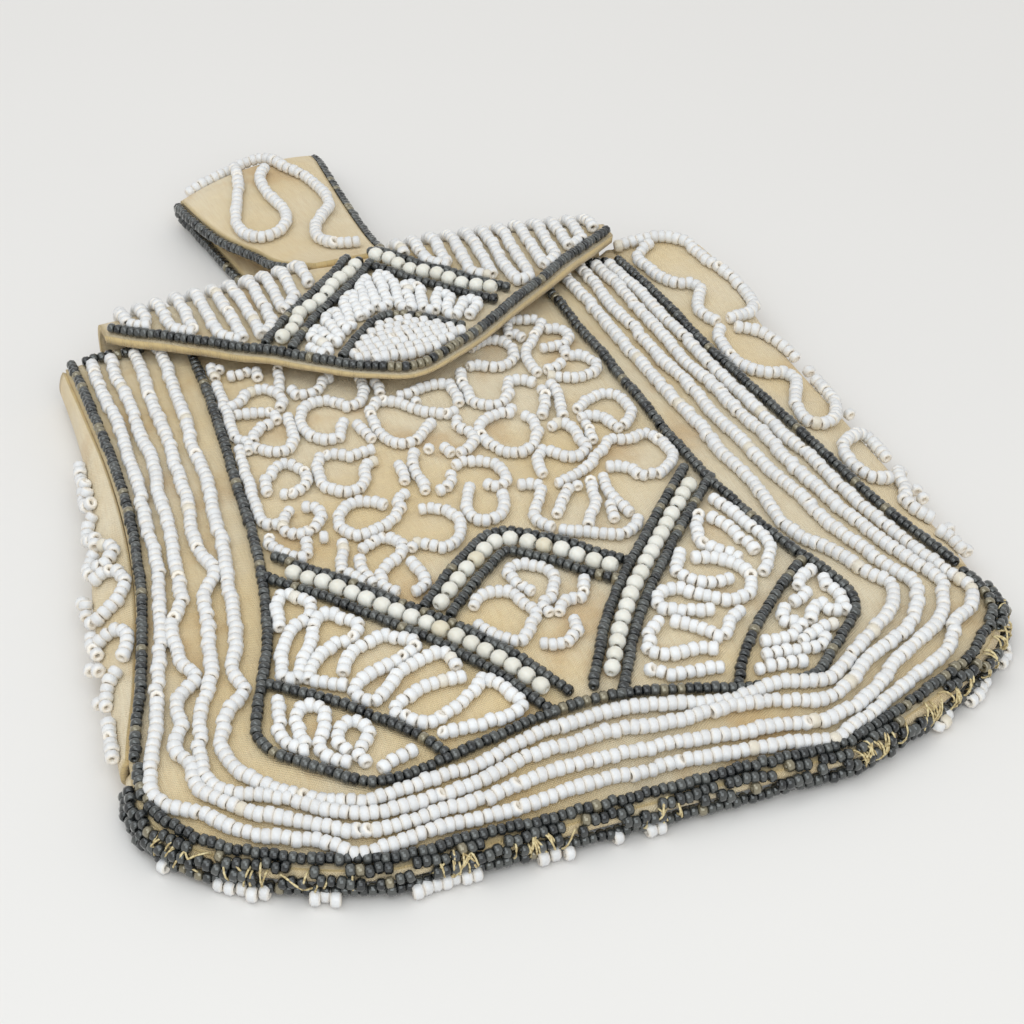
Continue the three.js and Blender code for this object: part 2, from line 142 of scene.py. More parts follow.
class Sections:
    """A table of sections that is read smoothly by its first column."""

    def __init__(self, names: tuple[str, ...], *rows: tuple[float, ...]) -> None:
        """Hold the rows as one array for each column.

        Args:
            names: Names of the columns.
            rows: Sections in rising order of their first value.
        """
        self.columns = dict(zip(names, np.array(rows).T))
        self.keys = self.columns[names[0]]

    def read(self, column: str, at: Array) -> Array:
        """Read one column at the given keys."""
        return smooth_read(self.keys, self.columns[column], np.asarray(at, float))


# Cross-sections of the body at heights y along the bag
BODY = Sections(
    ("y", "left_width", "right_width", "field_x", "field_y", "seam_z", "crown_z"),
    (-62.0, 32.0, 31.0, 27.6, -49.8, 3.1, 3.2),
    (-60.0, 39.0, 37.0, 31.4, -49.7, 3.2, 3.7),
    (-52.5, 53.2, 54.0, 36.8, -45.0, 3.5, 5.6),
    (-44.0, 59.8, 62.8, 42.2, -40.0, 4.0, 6.9),
    (-35.0, 60.2, 62.6, 43.2, -37.2, 4.6, 7.7),
    (-20.0, 56.1, 58.0, 36.8, -19.0, 5.6, 8.3),
    (-4.0, 52.2, 54.9, 33.7, -3.0, 6.2, 8.5),
    (12.0, 49.9, 52.2, 32.4, 12.0, 6.4, 8.5),
    (28.0, 49.0, 49.5, 31.2, 28.0, 6.4, 8.5),
    (44.0, 49.1, 48.0, 30.2, 44.0, 6.2, 8.3),
    (58.0, 49.4, 46.0, 29.8, 58.0, 5.8, 8.0),
)

# How far the two gussets stand out and lift at heights y along the bag
GUSSETS = Sections(
    ("y", "left_spread", "right_spread", "left_lift", "right_lift"),
    (-33.0, 0.8, 2.0, 0.0, 0.0),
    (-24.0, 2.2, 5.0, 0.0, 0.0),
    (-12.0, 4.6, 7.6, 0.0, 0.0),
    (4.0, 5.6, 9.6, 0.0, 0.0),
    (22.0, 3.2, 11.4, 0.0, 0.3),
    (42.0, 1.4, 13.2, 0.0, 1.4),
    (58.0, 0.8, 14.4, 0.0, 3.0),
    (62.5, 0.8, 12.4, 0.0, 3.3),
)

# The folded gusset, from the front seam round to the back
GUSSET_FOLD = Sections(
    ("at", "out", "up"),
    (0.0, 0.0, 1.0),
    (1.0, 0.5, 0.84),
    (2.0, 0.9, 0.56),
    (3.0, 1.0, 0.36),
    (4.0, 0.88, 0.19),
    (5.0, 0.45, 0.06),
    (6.0, 0.0, 0.0),
)

# Cross-sections of the finger loop along its run
LOOP = Sections(
    ("along", "y", "z", "middle_x", "half_width", "bow", "skew"),
    (0.0, 68.6, 9.9, 0.9, 5.7, 0.0, 0.0),
    (6.0, 74.4, 8.1, -1.2, 7.9, 0.2, 0.4),
    (14.0, 82.2, 6.6, -2.3, 9.1, 0.6, 1.2),
    (24.0, 92.0, 5.7, -4.3, 11.1, 1.1, 2.3),
    (34.0, 102.0, 5.3, -5.6, 12.4, 1.7, 3.3),
    (39.0, 106.6, 5.1, -6.0, 12.8, 1.9, 3.7),
    (42.0, 109.0, 4.4, -6.1, 12.8, 1.8, 3.9),
    (44.0, 109.8, 3.1, -6.0, 12.7, 1.4, 3.9),
    (46.0, 109.0, 1.8, -5.8, 12.5, 0.8, 3.8),
    (49.0, 106.6, 1.1, -5.3, 12.1, 0.2, 3.6),
    (59.0, 97.0, 1.0, -4.5, 11.3, 0.0, 2.6),
    (74.0, 82.0, 1.0, -3.3, 10.1, 0.0, 1.2),
    (89.0, 67.2, 1.0, -2.3, 9.1, 0.0, 0.0),
)

# Where the flap folds over the mouth, at places along the fold
FOLD = Sections(
    ("x", "y"),
    (-50.0, 60.0),
    (-30.0, 60.0),
    (-18.0, 60.2),
    (-8.0, 61.6),
    (2.0, 62.4),
    (20.0, 62.8),
    (50.0, 62.8),
)


@dataclass(frozen=True)
class FlapEdge:
    """The flap's pointed edge: straight slopes that meet in a rounded tip."""

    left_width: float = 42.5
    right_width: float = 45.2
    tip_y: float = 28.8
    slope: float = 0.82
    round_off: float = 6.0

    def line(self, x: Array) -> Array:
        """Give the edge's y at x, a hyperbola between the two slopes."""
        return self.tip_y + np.hypot(self.slope * x, self.round_off) - self.round_off


FLAP_EDGE = FlapEdge()


def body_width(x: Array, y: Array) -> Array:
    """Give the distance from the middle to the seam, on the side that x lies on."""
    return np.where(x < 0, BODY.read("left_width", y), BODY.read("right_width", y))


@dataclass(frozen=True)
class Kink:
    """A place where a sewn row strays: how far to the left of its run, and over what reach."""

    x: float
    y: float
    shift: float
    reach: float


@dataclass(frozen=True)
class BorderRow:
    """A white row of the border, by its share of the way from the field to the seam."""

    side: float
    bottom: float
    kinks: tuple[Kink, ...] = ()


BORDER_ROWS = (
    BorderRow(0.25, 0.17, (
        Kink(-42.4, -28.2, 2.2, 2.4), Kink(-42.0, -47.6, -2.0, 9.0), Kink(26.0, -49.0, 2.0, 6.0),
        Kink(40.4, -21.8, 2.0, 7.0), Kink(49.4, -36.0, -1.4, 3.0),
    )),
    BorderRow(0.45, 0.36, (
        Kink(-40.0, -2.8, 1.7, 3.0), Kink(-50.0, -44.0, -1.6, 5.0), Kink(-46.0, -24.0, 1.1, 4.0),
        Kink(20.0, -51.0, 1.9, 8.0), Kink(41.0, -47.8, 1.1, 5.0), Kink(53.0, -37.0, -1.2, 3.0),
    )),
    BorderRow(0.64, 0.55, (
        Kink(-48.0, -23.2, 2.3, 2.2), Kink(-49.2, -12.2, -1.4, 4.0), Kink(-52.0, -31.0, 1.1, 2.0),
        Kink(-52.6, -38.2, 1.2, 2.5), Kink(45.0, -49.0, 1.1, 5.0), Kink(57.0, -37.6, -1.3, 3.0),
    )),
    BorderRow(0.80, 0.74, (
        Kink(-58.4, -41.0, -1.9, 4.0), Kink(-36.0, -59.4, -1.2, 3.0), Kink(60.8, -39.6, -1.6, 3.0),
        Kink(55.2, -44.8, 1.1, 3.0), Kink(30.0, -61.0, -1.2, 3.0),
    )),
)

# Motif lines on the right half of the front, in plan
BAND_LINE: Points = ((31.0, -7.0), (23.5, -15.6), (16.2, -24.4), (9.5, -33.2), (4.6, -42.0))
CHEVRON_LINE: Points = (
    (-12.4, -21.4), (-5.0, -14.4), (0.0, -11.0), (5.0, -14.4), (12.4, -21.4),
)
DIVISION_LINE: Points = (
    (39.6, -28.0), (32.5, -34.0), (27.0, -39.5), (22.5, -45.0), (20.6, -48.2),
)
MOTIF_OFFSET = 2.15


# Strands of the field's net, of the diamond and of the four panels, in plan
FIELD_STRANDS: Strands = (
    ((-29, 42), (-30.2, 38), (-29.8, 35), (-29.8, 32.4), (-30, 29), (-29.6, 26.2),
     (-28.3, 25.2), (-28.5, 22.2)),
    ((-28.4, 34.6), (-26.4, 35.4), (-24.6, 37.2), (-22.2, 37.4), (-20.6, 35.8), (-20.2, 33.4),
     (-21, 31.6)),
    ((-28.2, 32.4), (-26.4, 32.2), (-24.6, 32), (-22.6, 31.4), (-22, 28.6)),
    ((-21.6, 43), (-22.2, 40.2)),
    ((-30.6, 47), (-29.8, 44.2), (-28, 43.8), (-27.2, 46.2)),
    ((-26.4, 43.2), (-24.4, 42.8), (-22.6, 43.2)),
    ((-18.6, 42), (-19.3, 38.4), (-19.8, 36)),
    ((-18.4, 36), (-17.4, 33.8), (-15.4, 33.6), (-13.8, 34.8), (-12.8, 36.4), (-11.4, 36.8)),
    ((-7.2, 35.6), (-7.8, 31), (-9.4, 28.2), (-11.4, 28), (-13, 30), (-15.6, 31),
     (-18, 29.6), (-19.2, 26), (-18.8, 23.4), (-17.2, 21.4), (-15, 20.8), (-13.6, 23),
     (-12.7, 24.6)),
    ((-23.4, 28.8), (-25, 28), (-26.4, 26.8), (-27.2, 24.8), (-26.8, 22.4), (-25.4, 20.8),
     (-23.8, 20.2), (-22.2, 21.4), (-21.2, 24), (-20.8, 27), (-20.4, 29.4)),
    ((-30.2, 24), (-30.9, 20.6), (-30.4, 17.4), (-30.2, 14.8), (-31.2, 12), (-31.6, 9.2),
     (-31.4, 6.8), (-30.4, 4.6), (-28.6, 4.2)),
    ((-28.4, 11.6), (-28.2, 14), (-26.6, 16), (-25.2, 17.4), (-23.6, 16.8), (-22.2, 14.8),
     (-22.3, 12.4), (-23.4, 10.6), (-25, 10.2), (-26.8, 10.6)),
    ((-10.6, 16.6), (-12.4, 16.4), (-14.4, 15.9), (-16.2, 17), (-18.6, 17.4), (-20, 15.2),
     (-20.3, 12), (-20.2, 9.4), (-18.6, 7.8), (-16.5, 7.2), (-14.8, 8.6), (-13.8, 10.6),
     (-12.8, 12.8), (-10.9, 13.4)),
    ((-11.4, 23.4), (-10.8, 21), (-10.2, 18.4)),
    ((4.4, 21.6), (2.4, 21.2), (0.6, 22.2), (-1.2, 23.8), (-2.6, 25.6), (-4.2, 27), (-6.6, 27.4),
     (-8.3, 26), (-8.9, 23), (-8.7, 20), (-7.9, 17.6), (-6.6, 15.8), (-4.8, 15.6),
     (-3.2, 16.8), (-1.8, 18.2), (-0.2, 19.6)),
    ((-5.2, 33.4), (-5.6, 29.2)),
    ((-3.4, 28.6), (-1.6, 28.4), (0.6, 29.2), (3, 29.4), (5.2, 28.6), (5.5, 25.6), (5.2, 23)),
    ((-0.9, 27), (-1, 25.2)),
    ((8.2, 31.2), (7.4, 29), (7.3, 26), (7.3, 23.2), (8.6, 21.2), (10.4, 20.4), (12.2, 21.4),
     (13.4, 23.8), (14.6, 26), (16.4, 25.8), (18, 24.6)),
    ((9.4, 32), (10.8, 32.4), (12.6, 31.6), (14.4, 31), (16.6, 31.4), (18, 33.4), (18, 36.2),
     (16.6, 38.2), (15, 38.6), (13.2, 38), (11.4, 36.6)),
    ((18.8, 38.2), (19.2, 40.6), (20.2, 42.8), (22.4, 42.4), (24.8, 42)),
    ((25.2, 40.8), (23.6, 38.4), (22, 36.4), (20.6, 34.6), (19.4, 32), (19.2, 29.2), (19.4, 26.8)),
    ((19.8, 39.4), (20.8, 37)),
    ((24.8, 38.6), (26.6, 38.4), (27.8, 37), (27.6, 34.8), (26.2, 33.4), (24.2, 33.2), (22.2, 33.4)),
    ((26, 32), (25.6, 29.8), (27.4, 29.6), (28.8, 27.4), (28.4, 25.2), (26.4, 24.2), (24.2, 24.2),
     (22.2, 25), (20.6, 25.6)),
    ((20.8, 27.2), (22.6, 27.6), (24.4, 28.8)),
    ((18.6, 23.2), (18.3, 20.8), (17.2, 17.8), (16, 15.6)),
    ((20.3, 24.2), (20.6, 22), (20.2, 19.4), (19.4, 16.8), (19.2, 14.2)),
    ((12.2, 19.4), (11.6, 18), (9.6, 18.4), (7.4, 17.6), (6, 16.2), (5.8, 13.2), (6.4, 10.8),
     (8, 9.2), (10, 8), (12, 8.6), (13.4, 10.6), (14.4, 13.2), (14.2, 15.6), (13.2, 17.2)),
    ((3.4, 19.8), (3.2, 17.6), (4.2, 15.6), (4, 13.2), (2.6, 11.6), (0.8, 10.6)),
    ((21.4, 15.8), (23.4, 17.2), (25.4, 18.4), (27.4, 18.8), (29, 17.4), (29.8, 15), (29.4, 12.6),
     (28, 10.6), (26.8, 9.8)),
    ((21, 13.6), (22.8, 13.6), (24.6, 13), (25.4, 10.8), (25.8, 8.6)),
    ((16, 12.2), (18, 12.8), (19.4, 10.8), (19.2, 8.2), (19.4, 5.6), (17.8, 4.4), (16, 4.6),
     (14.6, 6), (13.2, 7.2), (11.8, 5.8), (11, 3.6), (11, 1.6)),
    ((21.6, 12), (21.4, 9.4), (21, 6.8)),
    ((12, -0.6), (13.4, -0.6), (15.4, 0.2), (17.2, 0.9), (18.8, 2), (20.2, 3.6), (22, 5),
     (23.8, 6.6), (25.6, 6.4), (27.4, 6.4), (29.2, 7.2), (30.6, 5.8), (31.5, 3.2), (31.4, 0.6),
     (30.2, -1.6), (28.6, -3), (26.6, -3.8), (24.9, -3.2), (24, -1.4), (22.4, 0), (20.6, 0.4)),
    ((19.6, -1.2), (18.9, -3.6), (19, -6.4), (19.4, -9), (20.2, -11.2)),
    ((17.6, -1.6), (16.8, -3.6), (16.2, -5.6), (15.6, -7.8), (14, -9.8), (12.6, -12.2)),
    ((15.2, -1.4), (15, -3.4)),
    ((17.6, -7.6), (17.6, -9.8), (17, -12)),
    ((14, -2.4), (12.2, -4.2), (10.6, -6.6), (9.6, -8.6)),
    ((8.6, -11.8), (10, -12.8), (12, -13.4), (14.4, -14.6), (17, -15.2), (19.2, -14.2),
     (20.4, -12.2)),
    ((-0.8, 7.8), (0.8, 8.4), (2.6, 8.2), (4.2, 7.4), (5.4, 5.8), (5.6, 3.4), (5, 1.4), (3.6, 0.8),
     (2, 2.2)),
    ((6.4, 0.2), (8.2, 0), (9.4, -0.6), (8.8, -2.6), (7.6, -4.8), (6.4, -6.8), (6.6, -9),
     (8, -11.2)),
    ((3.8, -0.8), (3.2, -3), (2.2, -5.2), (0.2, -5.8), (-1.6, -5.2), (-2.4, -3.6), (-2.2, -1.6),
     (-1.2, 0.4), (0, 2.6)),
    ((-1, 13.4), (-0.2, 10.8)),
    ((-2.8, 14.2), (-3.6, 12.2)),
    ((-1.4, 6.4), (-2.2, 4.8), (-3.4, 3.4), (-5, 3)),
    ((-5.2, 13.2), (-6.3, 11), (-6.6, 8.4), (-6.3, 5.6), (-6.6, 3.6)),
    ((-8.4, 11.4), (-8.4, 9), (-8.8, 6.8)),
    ((-9.4, 4.8), (-11, 3.4), (-11.6, 1.2), (-13, -0.8), (-14.8, -2.2), (-16.6, -2.8),
     (-18.8, -3), (-20.2, -1.8), (-20.7, 0.2), (-20.4, 2.4), (-18.8, 4.2), (-16.6, 4.4),
     (-14.6, 3.6), (-13.2, 2.4)),
    ((-21.4, -3.2), (-22, -5.8), (-23, -8.2), (-23.2, -10.4), (-22.2, -12.2), (-21, -13.6)),
    ((-26.2, 6.6), (-27.6, 5), (-28.5, 2.6), (-27.6, 0.8), (-25.8, 0.4), (-24.2, 1.4), (-22.8, 3),
     (-23, 5.2), (-24.6, 6.2)),
    ((-31, 1.6), (-31.5, -0.8), (-31, -3.2), (-29.4, -3.8), (-27.6, -4.6), (-26.6, -3),
     (-26.4, -1)),
    ((-24.6, -0.8), (-22.6, -1.4)),
    ((-8.8, 0.2), (-7, -0.6), (-5.4, -1.8), (-4.4, -3.6), (-4.6, -6), (-5.6, -8), (-7, -9.4),
     (-8.6, -9.8), (-10, -9), (-11.6, -8), (-13, -9)),
    ((-19.6, -6.4), (-17.8, -5.4), (-16, -4.8), (-14.4, -6), (-13.8, -8.2), (-15.4, -10.2),
     (-17, -11), (-18.6, -12.6), (-18.8, -15.2), (-17.4, -16.9)),
    ((-20.4, -7.6), (-20.7, -9.8), (-20.4, -12.2), (-20, -14.2)),
    ((-14, -11), (-13.4, -13.2), (-12.9, -15.4), (-13.8, -17.2), (-15.6, -17.4)),
    ((-9, -23.6), (-7.4, -22.2), (-5.6, -21.6), (-3.8, -21.8), (-2.6, -22.8), (-2, -24.4),
     (-1.4, -26), (-0.8, -27.8), (-2.2, -29.6), (-3.2, -31.2), (-4.6, -32.2), (-6, -31.4),
     (-7.2, -30), (-8.4, -28.2), (-9.2, -26.4)),
    ((0.2, -23.4), (-0.8, -21.4), (-1.6, -19.6), (-1.6, -18), (0.2, -17), (2.2, -17.6),
     (3.8, -19.2), (4.2, -21), (3.4, -22.6), (2.6, -24.6), (0.6, -26), (0.8, -28.4)),
    ((8.4, -21.6), (8.2, -23.2), (7.4, -25), (6.2, -26.4), (4.4, -25.8), (3, -27.4), (2.2, -28.8)),
    ((3.8, -30.2), (3.6, -32), (2.4, -33.6), (0.8, -34.8), (-0.8, -34.2), (-2.4, -33.6)),
)
PANEL_STRANDS: Strands = (
    # Upper left
    ((-34.8, -18.4), (-34.4, -15.2), (-33.6, -12.4), (-32.2, -11.6), (-30.6, -13.6), (-29.6, -15.2),
     (-30.8, -17.8), (-33.4, -19), (-35.4, -21.8), (-37, -26), (-36.9, -28.2), (-35.6, -28.6),
     (-34, -25.6), (-31.4, -21.8), (-30, -18.8), (-28.2, -17.8), (-26.4, -19.4), (-24.8, -21.6),
     (-25.6, -23.4), (-29.4, -24), (-32.4, -26.6), (-34, -29.2), (-32, -30.8), (-29.6, -32.6)),
    ((-29.2, -30.2), (-27.6, -27.2), (-24.6, -25.6), (-22.2, -25), (-20.4, -26.4), (-18.4, -28.2),
     (-20.2, -29.8), (-24.4, -31), (-28.2, -32.6), (-29.2, -34.2), (-27, -36.2), (-24.6, -34.8),
     (-22, -32.4), (-18.4, -31.2), (-15.4, -31), (-14.6, -34.2)),
    ((-14, -35.8), (-17.6, -36), (-22, -36.8), (-24.9, -38.9), (-23.4, -40.8), (-21.6, -42.4),
     (-17.6, -41.4), (-13.6, -39.2), (-11.8, -37.4), (-9.8, -40.6), (-8.6, -43.4), (-12, -44.7),
     (-17, -45), (-20.6, -44.6)),
    # Lower left
    ((-38.8, -31.2), (-39.8, -35.4), (-39.8, -39.8), (-37.9, -41.4), (-37.8, -38), (-37, -34.6),
     (-35.4, -34.2), (-33.8, -36), (-35, -39.2), (-36.2, -42.2), (-34.6, -44.4), (-33, -45.6)),
    ((-32.8, -43.8), (-33.6, -41.6), (-32.6, -39.2), (-31, -38.6), (-29.4, -40.2), (-29.8, -42.2),
     (-31.2, -43.8), (-31.2, -46.8)),
    ((-24.4, -46), (-27.4, -47), (-30, -48)),
    # Upper right
    ((32.4, -11.4), (33.4, -14), (34.6, -17.2), (35.6, -20.4), (36.4, -23.2), (35, -26.4),
     (32.6, -29.2)),
    ((29.6, -14.4), (27.8, -17), (27, -20.6), (28.8, -22.8), (31.2, -25.4)),
    ((30.2, -15.6), (32, -18.2), (32.8, -21.2), (34, -24.6)),
    ((23.6, -21.6), (21, -25.8), (22.2, -28), (25, -29), (28.4, -28.8)),
    ((24.2, -23.6), (27.6, -24.2), (30.2, -26.4), (30.8, -29.4), (29.2, -32.6), (26.2, -33.4),
     (22.6, -31.4), (19, -29), (17.4, -29.2), (16, -31.6), (18.4, -33.2), (23, -34.8)),
    ((15.2, -33.8), (12.6, -36.2), (11.4, -39.4), (13.8, -40.8), (17.6, -40.8), (20.6, -41.8)),
    ((16.4, -34.8), (19.4, -37), (22, -40), (24.4, -37.4), (26.8, -36)),
    ((9.6, -42.4), (12.2, -44.4), (16.4, -44.6), (20, -45.2)),
    # Lower right
    ((40, -30.6), (37.6, -31.8), (36, -33.6)),
    ((40.8, -32.4), (40.2, -34.4), (41.2, -36.6), (40.8, -39.2), (38.8, -39), (37.8, -37.2),
     (35, -40.2)),
    ((37.6, -34.6), (34.2, -36.6)),
    ((32.8, -36.4), (31.4, -39.2), (33.6, -40.2), (30.8, -42.2), (26.6, -42.4)),
    ((38.6, -41.2), (35.6, -42), (31.8, -43.6)),
    ((36.4, -43.4), (33.6, -45.2), (30, -44.8), (25.8, -44.4)),
    ((23.8, -46.4), (27.4, -46.8), (31.4, -47.2)),
)

# Strands and single beads of the two gussets, by profile place and y
LEFT_STRANDS: Strands = (
    ((2, 35), (2.3, 33.4), (2.5, 31.6), (2.2, 30)),
    ((1.5, 28.9), (2, 28.9), (2.5, 28), (2.7, 26.2), (2.4, 24.4), (1.9, 23.4), (1.5, 22.6)),
    ((1.6, 26.8), (2.1, 26.4)),
    ((1.5, 20), (2, 19.4), (2.4, 17.8), (2.4, 15.8), (1.9, 14.4), (1.5, 13.4), (1.5, 11.8)),
    ((1.5, 10.6), (2, 9.8), (2.2, 8), (2, 6.4)),
    ((1.3, 11), (0.9, 10.6), (0.7, 9.2), (0.8, 7.4), (1.2, 6.6), (1.6, 7.4)),
    ((1.9, 4.8), (1.4, 5), (0.9, 4.6), (0.5, 3.2), (0.3, 1.2), (0.4, -0.8), (0.8, -2.4),
     (1.3, -3.4), (1.9, -3.6), (2.4, -2.6)),
    ((2.4, 2.6), (2.8, 1.2), (2.9, -0.6)),
    ((2.4, -5), (2.5, -7), (2.3, -9.2), (2.1, -11)),
    ((2, -8.2), (1.5, -8), (1, -8.2), (0.5, -9), (0.25, -10.8), (0.35, -13), (0.6, -14.6)),
    ((2.3, -12.6), (2, -14.2)),
    ((0.8, -16), (1.2, -17), (1.6, -18.2), (2, -19.8), (2, -21.2)),
    ((2, -23.4), (2, -25.4), (1.7, -27.4), (1.5, -29.4), (1.3, -31.6)),
)
LEFT_SINGLES: Points = (
    (2.85, 27.2), (2.8, 17), (2.9, 3.4), (2.8, -6.2), (2.8, -11.6), (2.75, -18.8),
)
RIGHT_STRANDS: Strands = (
    ((0.05, 61.6), (0.6, 61.5), (1, 61.2), (1.4, 60.5), (1.65, 58.4), (1.7, 55.2), (1.75, 52.4),
     (1.95, 49.6), (2.25, 47.2), (2.5, 44.6), (2.6, 41.2), (2.3, 38.2), (1.6, 35.8), (1, 34.6)),
    ((0.9, 59.6), (0.5, 58.5), (0.3, 56), (0.3, 52.4), (0.35, 49.3), (0.55, 46.8), (0.85, 46),
     (0.95, 44.4), (0.68, 41.3), (0.48, 38.8), (0.5, 36), (0.65, 33.8)),
    ((0.6, 32.2), (0.35, 29.8), (0.25, 26.8), (0.15, 23.8), (0.2, 21), (0.4, 18.9), (0.8, 17.9),
     (1.2, 17.6), (1.3, 16.2), (1.1, 13.8), (0.7, 10.8), (0.4, 7.6), (0.3, 4.4), (0.5, 2.9),
     (0.9, 3.2), (1.4, 5), (2, 8.6), (2.5, 12.4), (2.55, 15.4), (2.55, 17.8)),
    ((1, 32.2), (1.3, 31.4), (1.8, 29.8), (2.1, 27.6), (2.4, 25.6), (2.6, 23.4)),
    ((2.5, -5.6), (2.5, -2.6), (2.4, 0.4), (1.7, 0.2), (1, -1.8), (0.5, -4.6), (0.3, -7.6),
     (0.4, -10.8), (0.8, -12.4), (1.3, -12.2)),
    ((2.4, -8.8), (1.9, -11), (1.7, -14), (1.2, -16.4), (0.9, -19), (1.2, -21.2), (1.7, -22.2)),
    ((1, -25.4), (1.6, -27), (1.9, -29.6)),
)
RIGHT_SINGLES: Points = (
    (2.75, 20.6), (2.7, 7.6), (2.75, -8.4), (2.7, -13.4), (2.6, -15.6), (2.6, -23.4), (2.4, -28.4),
)


def lerp(start: Array, end: Array, share: Array) -> Array:
    """Mix two values by a share."""
    return start + (end - start) * share


def unit(vectors: Array) -> Array:
    """Scale vectors to length 1."""
    return vectors / np.linalg.norm(vectors, axis=-1, keepdims=True)


def joined(*columns: Array) -> Array:
    """Put coordinates side by side as points."""
    return np.stack(columns, axis=-1)


def grid(first: Array, second: Array) -> tuple[Array, Array]:
    """Give the two coordinates of every point of a grid, the first one along its first axis."""
    across, along = np.meshgrid(first, second, indexing="ij")
    return across, along


def lengths_along(points: Array) -> Array:
    """Give the distance travelled along a line of points at each point."""
    steps = np.linalg.norm(np.diff(points, axis=0), axis=1)
    return np.concatenate([[0.0], np.cumsum(steps)])


def smooth_line(points: Points | Array, step: float = 0.3, slack: float = 1.0) -> Array:
    """Draw a smooth curve through points, read by chord length.

    Args:
        points: Points of the curve.
        step: Distance between the points that come back.
        slack: Share of the full slope at each point; less draws the curve tauter.

    Returns:
        Dense points along the curve.
    """
    knots = np.asarray(points, float)
    keys = lengths_along(knots)
    count = max(int(keys[-1] / step), 2)
    return smooth_read(keys, knots, np.linspace(0, keys[-1], count), slack)


def stepped_line(points: Points, step: float) -> Array:
    """Draw a smooth curve through points whose first coordinate counts steps of a length."""
    scale = np.array([step, 1.0])
    return smooth_line(np.asarray(points) * scale) / scale


def straight_line(points: Points | Array, step: float = 0.3) -> Array:
    """Walk a line of straight pieces at an even step.

    Args:
        points: Corners of the line.
        step: Distance between the points that come back.

    Returns:
        Dense points along the line.
    """
    knots = np.asarray(points, float)
    keys = lengths_along(knots)
    at = np.linspace(0, keys[-1], max(int(keys[-1] / step), 2))
    return np.stack([np.interp(at, keys, column) for column in knots.T], axis=-1)


def soften(line: Array, reach: int) -> Array:
    """Round the turns of a dense line: a running mean weighted by a bell curve.

    Args:
        line: Dense points at an even step.
        reach: Half width of the bell in points.

    Returns:
        The rounded line, with as many points.
    """
    bell = np.exp(-0.5 * (np.arange(-2 * reach, 2 * reach + 1) / reach) ** 2)
    bell /= bell.sum()
    padded = np.pad(line, ((2 * reach, 2 * reach), (0, 0)), mode="edge")
    return np.stack([np.convolve(column, bell, mode="valid") for column in padded.T], axis=-1)


def offset_line(line: Array, distance: float | Array) -> Array:
    """Move a plan line sideways, to its left for a positive distance."""
    run = unit(np.gradient(line, axis=0))
    return line + np.reshape(distance, (-1, 1)) * joined(-run[:, 1], run[:, 0])


def extend_line(line: Array, before: float, after: float) -> Array:
    """Lengthen a line straight on at its two ends.

    Args:
        line: Points of the line.
        before: Length added ahead of the first point.
        after: Length added past the last point.

    Returns:
        The line with one point more at each end.
    """
    head = line[0] - line[1]
    tail = line[-1] - line[-2]
    first = line[0] + before * head / np.linalg.norm(head)
    last = line[-1] + after * tail / np.linalg.norm(tail)
    return np.concatenate([first[None], line, last[None]])


def serpentine(near: Points | Array, far: Points | Array, strokes: int, turn: int = 3) -> Array:
    """Run a strand back and forth between two edges.

    Stroke i joins the i-th even division of one edge to that of the other, and the strand turns
    round at each end in a soft curve.

    Args:
        near: The edge that the strand starts on.
        far: The edge across from it.
        strokes: How many times the strand crosses.
        turn: Softness of the turns, in points of the dense line.

    Returns:
        Dense points of the strand.
    """
    shares = np.linspace(0, 1, strokes)
    ends = []
    for edge in (np.asarray(near, float), np.asarray(far, float)):
        keys = lengths_along(edge)
        ends.append(np.stack([np.interp(shares * keys[-1], keys, c) for c in edge.T], axis=-1))
    crossing = np.stack(ends, axis=1)
    crossing[1::2] = crossing[1::2, ::-1]
    return soften(straight_line(crossing.reshape(-1, 2)), turn)


def lobe_chain(length: float, radius: Span, swing: Span, rng: Random) -> Array:
    """Make a looping strand along +x: arcs that turn to one side and the other in turn.

    The heading swings between plus and minus an angle, and each arc between two such headings
    has an even curve. Positions are the running sum of the heading's cosine and sine.

    Args:
        length: Length of the chain along x.
        radius: Smallest and largest radius of a lobe.
        swing: Smallest and largest heading, in degrees.
        rng: Source of the variation.

    Returns:
        Points of the strand, starting at x = 0 and level on the whole.
    """
    step = 0.2
    least_advance = 0.8 * radius[0]
    spare_lobes = 4
    lobes = int(length / least_advance) + spare_lobes
    headings = np.radians(rng.uniform(*swing, lobes)) * np.where(np.arange(lobes) % 2, 1, -1)
    radii = rng.uniform(*radius, lobes - 1)
    arcs = radii * np.abs(np.diff(headings))
    ends = np.concatenate([[0.0], np.cumsum(arcs)])
    heading = np.interp(np.arange(0, ends[-1], step), ends, headings)
    x = np.cumsum(np.cos(heading)) * step
    y = np.cumsum(np.sin(heading)) * step
    y -= np.polyval(np.polyfit(x, y, 1), x)
    inside = x < length
    return joined(x[inside], y[inside])


class Ground:
    """A cloth surface that beads are sewn to, known by two surface coordinates."""

    facing = 1.0
    nudge = 0.05

    def points(self, a: Array, b: Array) -> Array:
        """Give the points of the surface's middle at the two coordinates."""
        raise NotImplementedError

    def place(self, a: Array, b: Array, height: float | Array) -> tuple[Array, Array]:
        """Give points at a height above the surface.

        The normal is the cross product of the two central differences.

        Args:
            a: First surface coordinate.
            b: Second surface coordinate.
            height: Distance above the middle of the cloth.

        Returns:
            The points and the unit normals.
        """
        step = self.nudge
        along_a = self.points(a + step, b) - self.points(a - step, b)
        along_b = self.points(a, b + step) - self.points(a, b - step)
        normal = unit(self.facing * np.cross(along_a, along_b))
        return self.points(a, b) + height * normal, normal


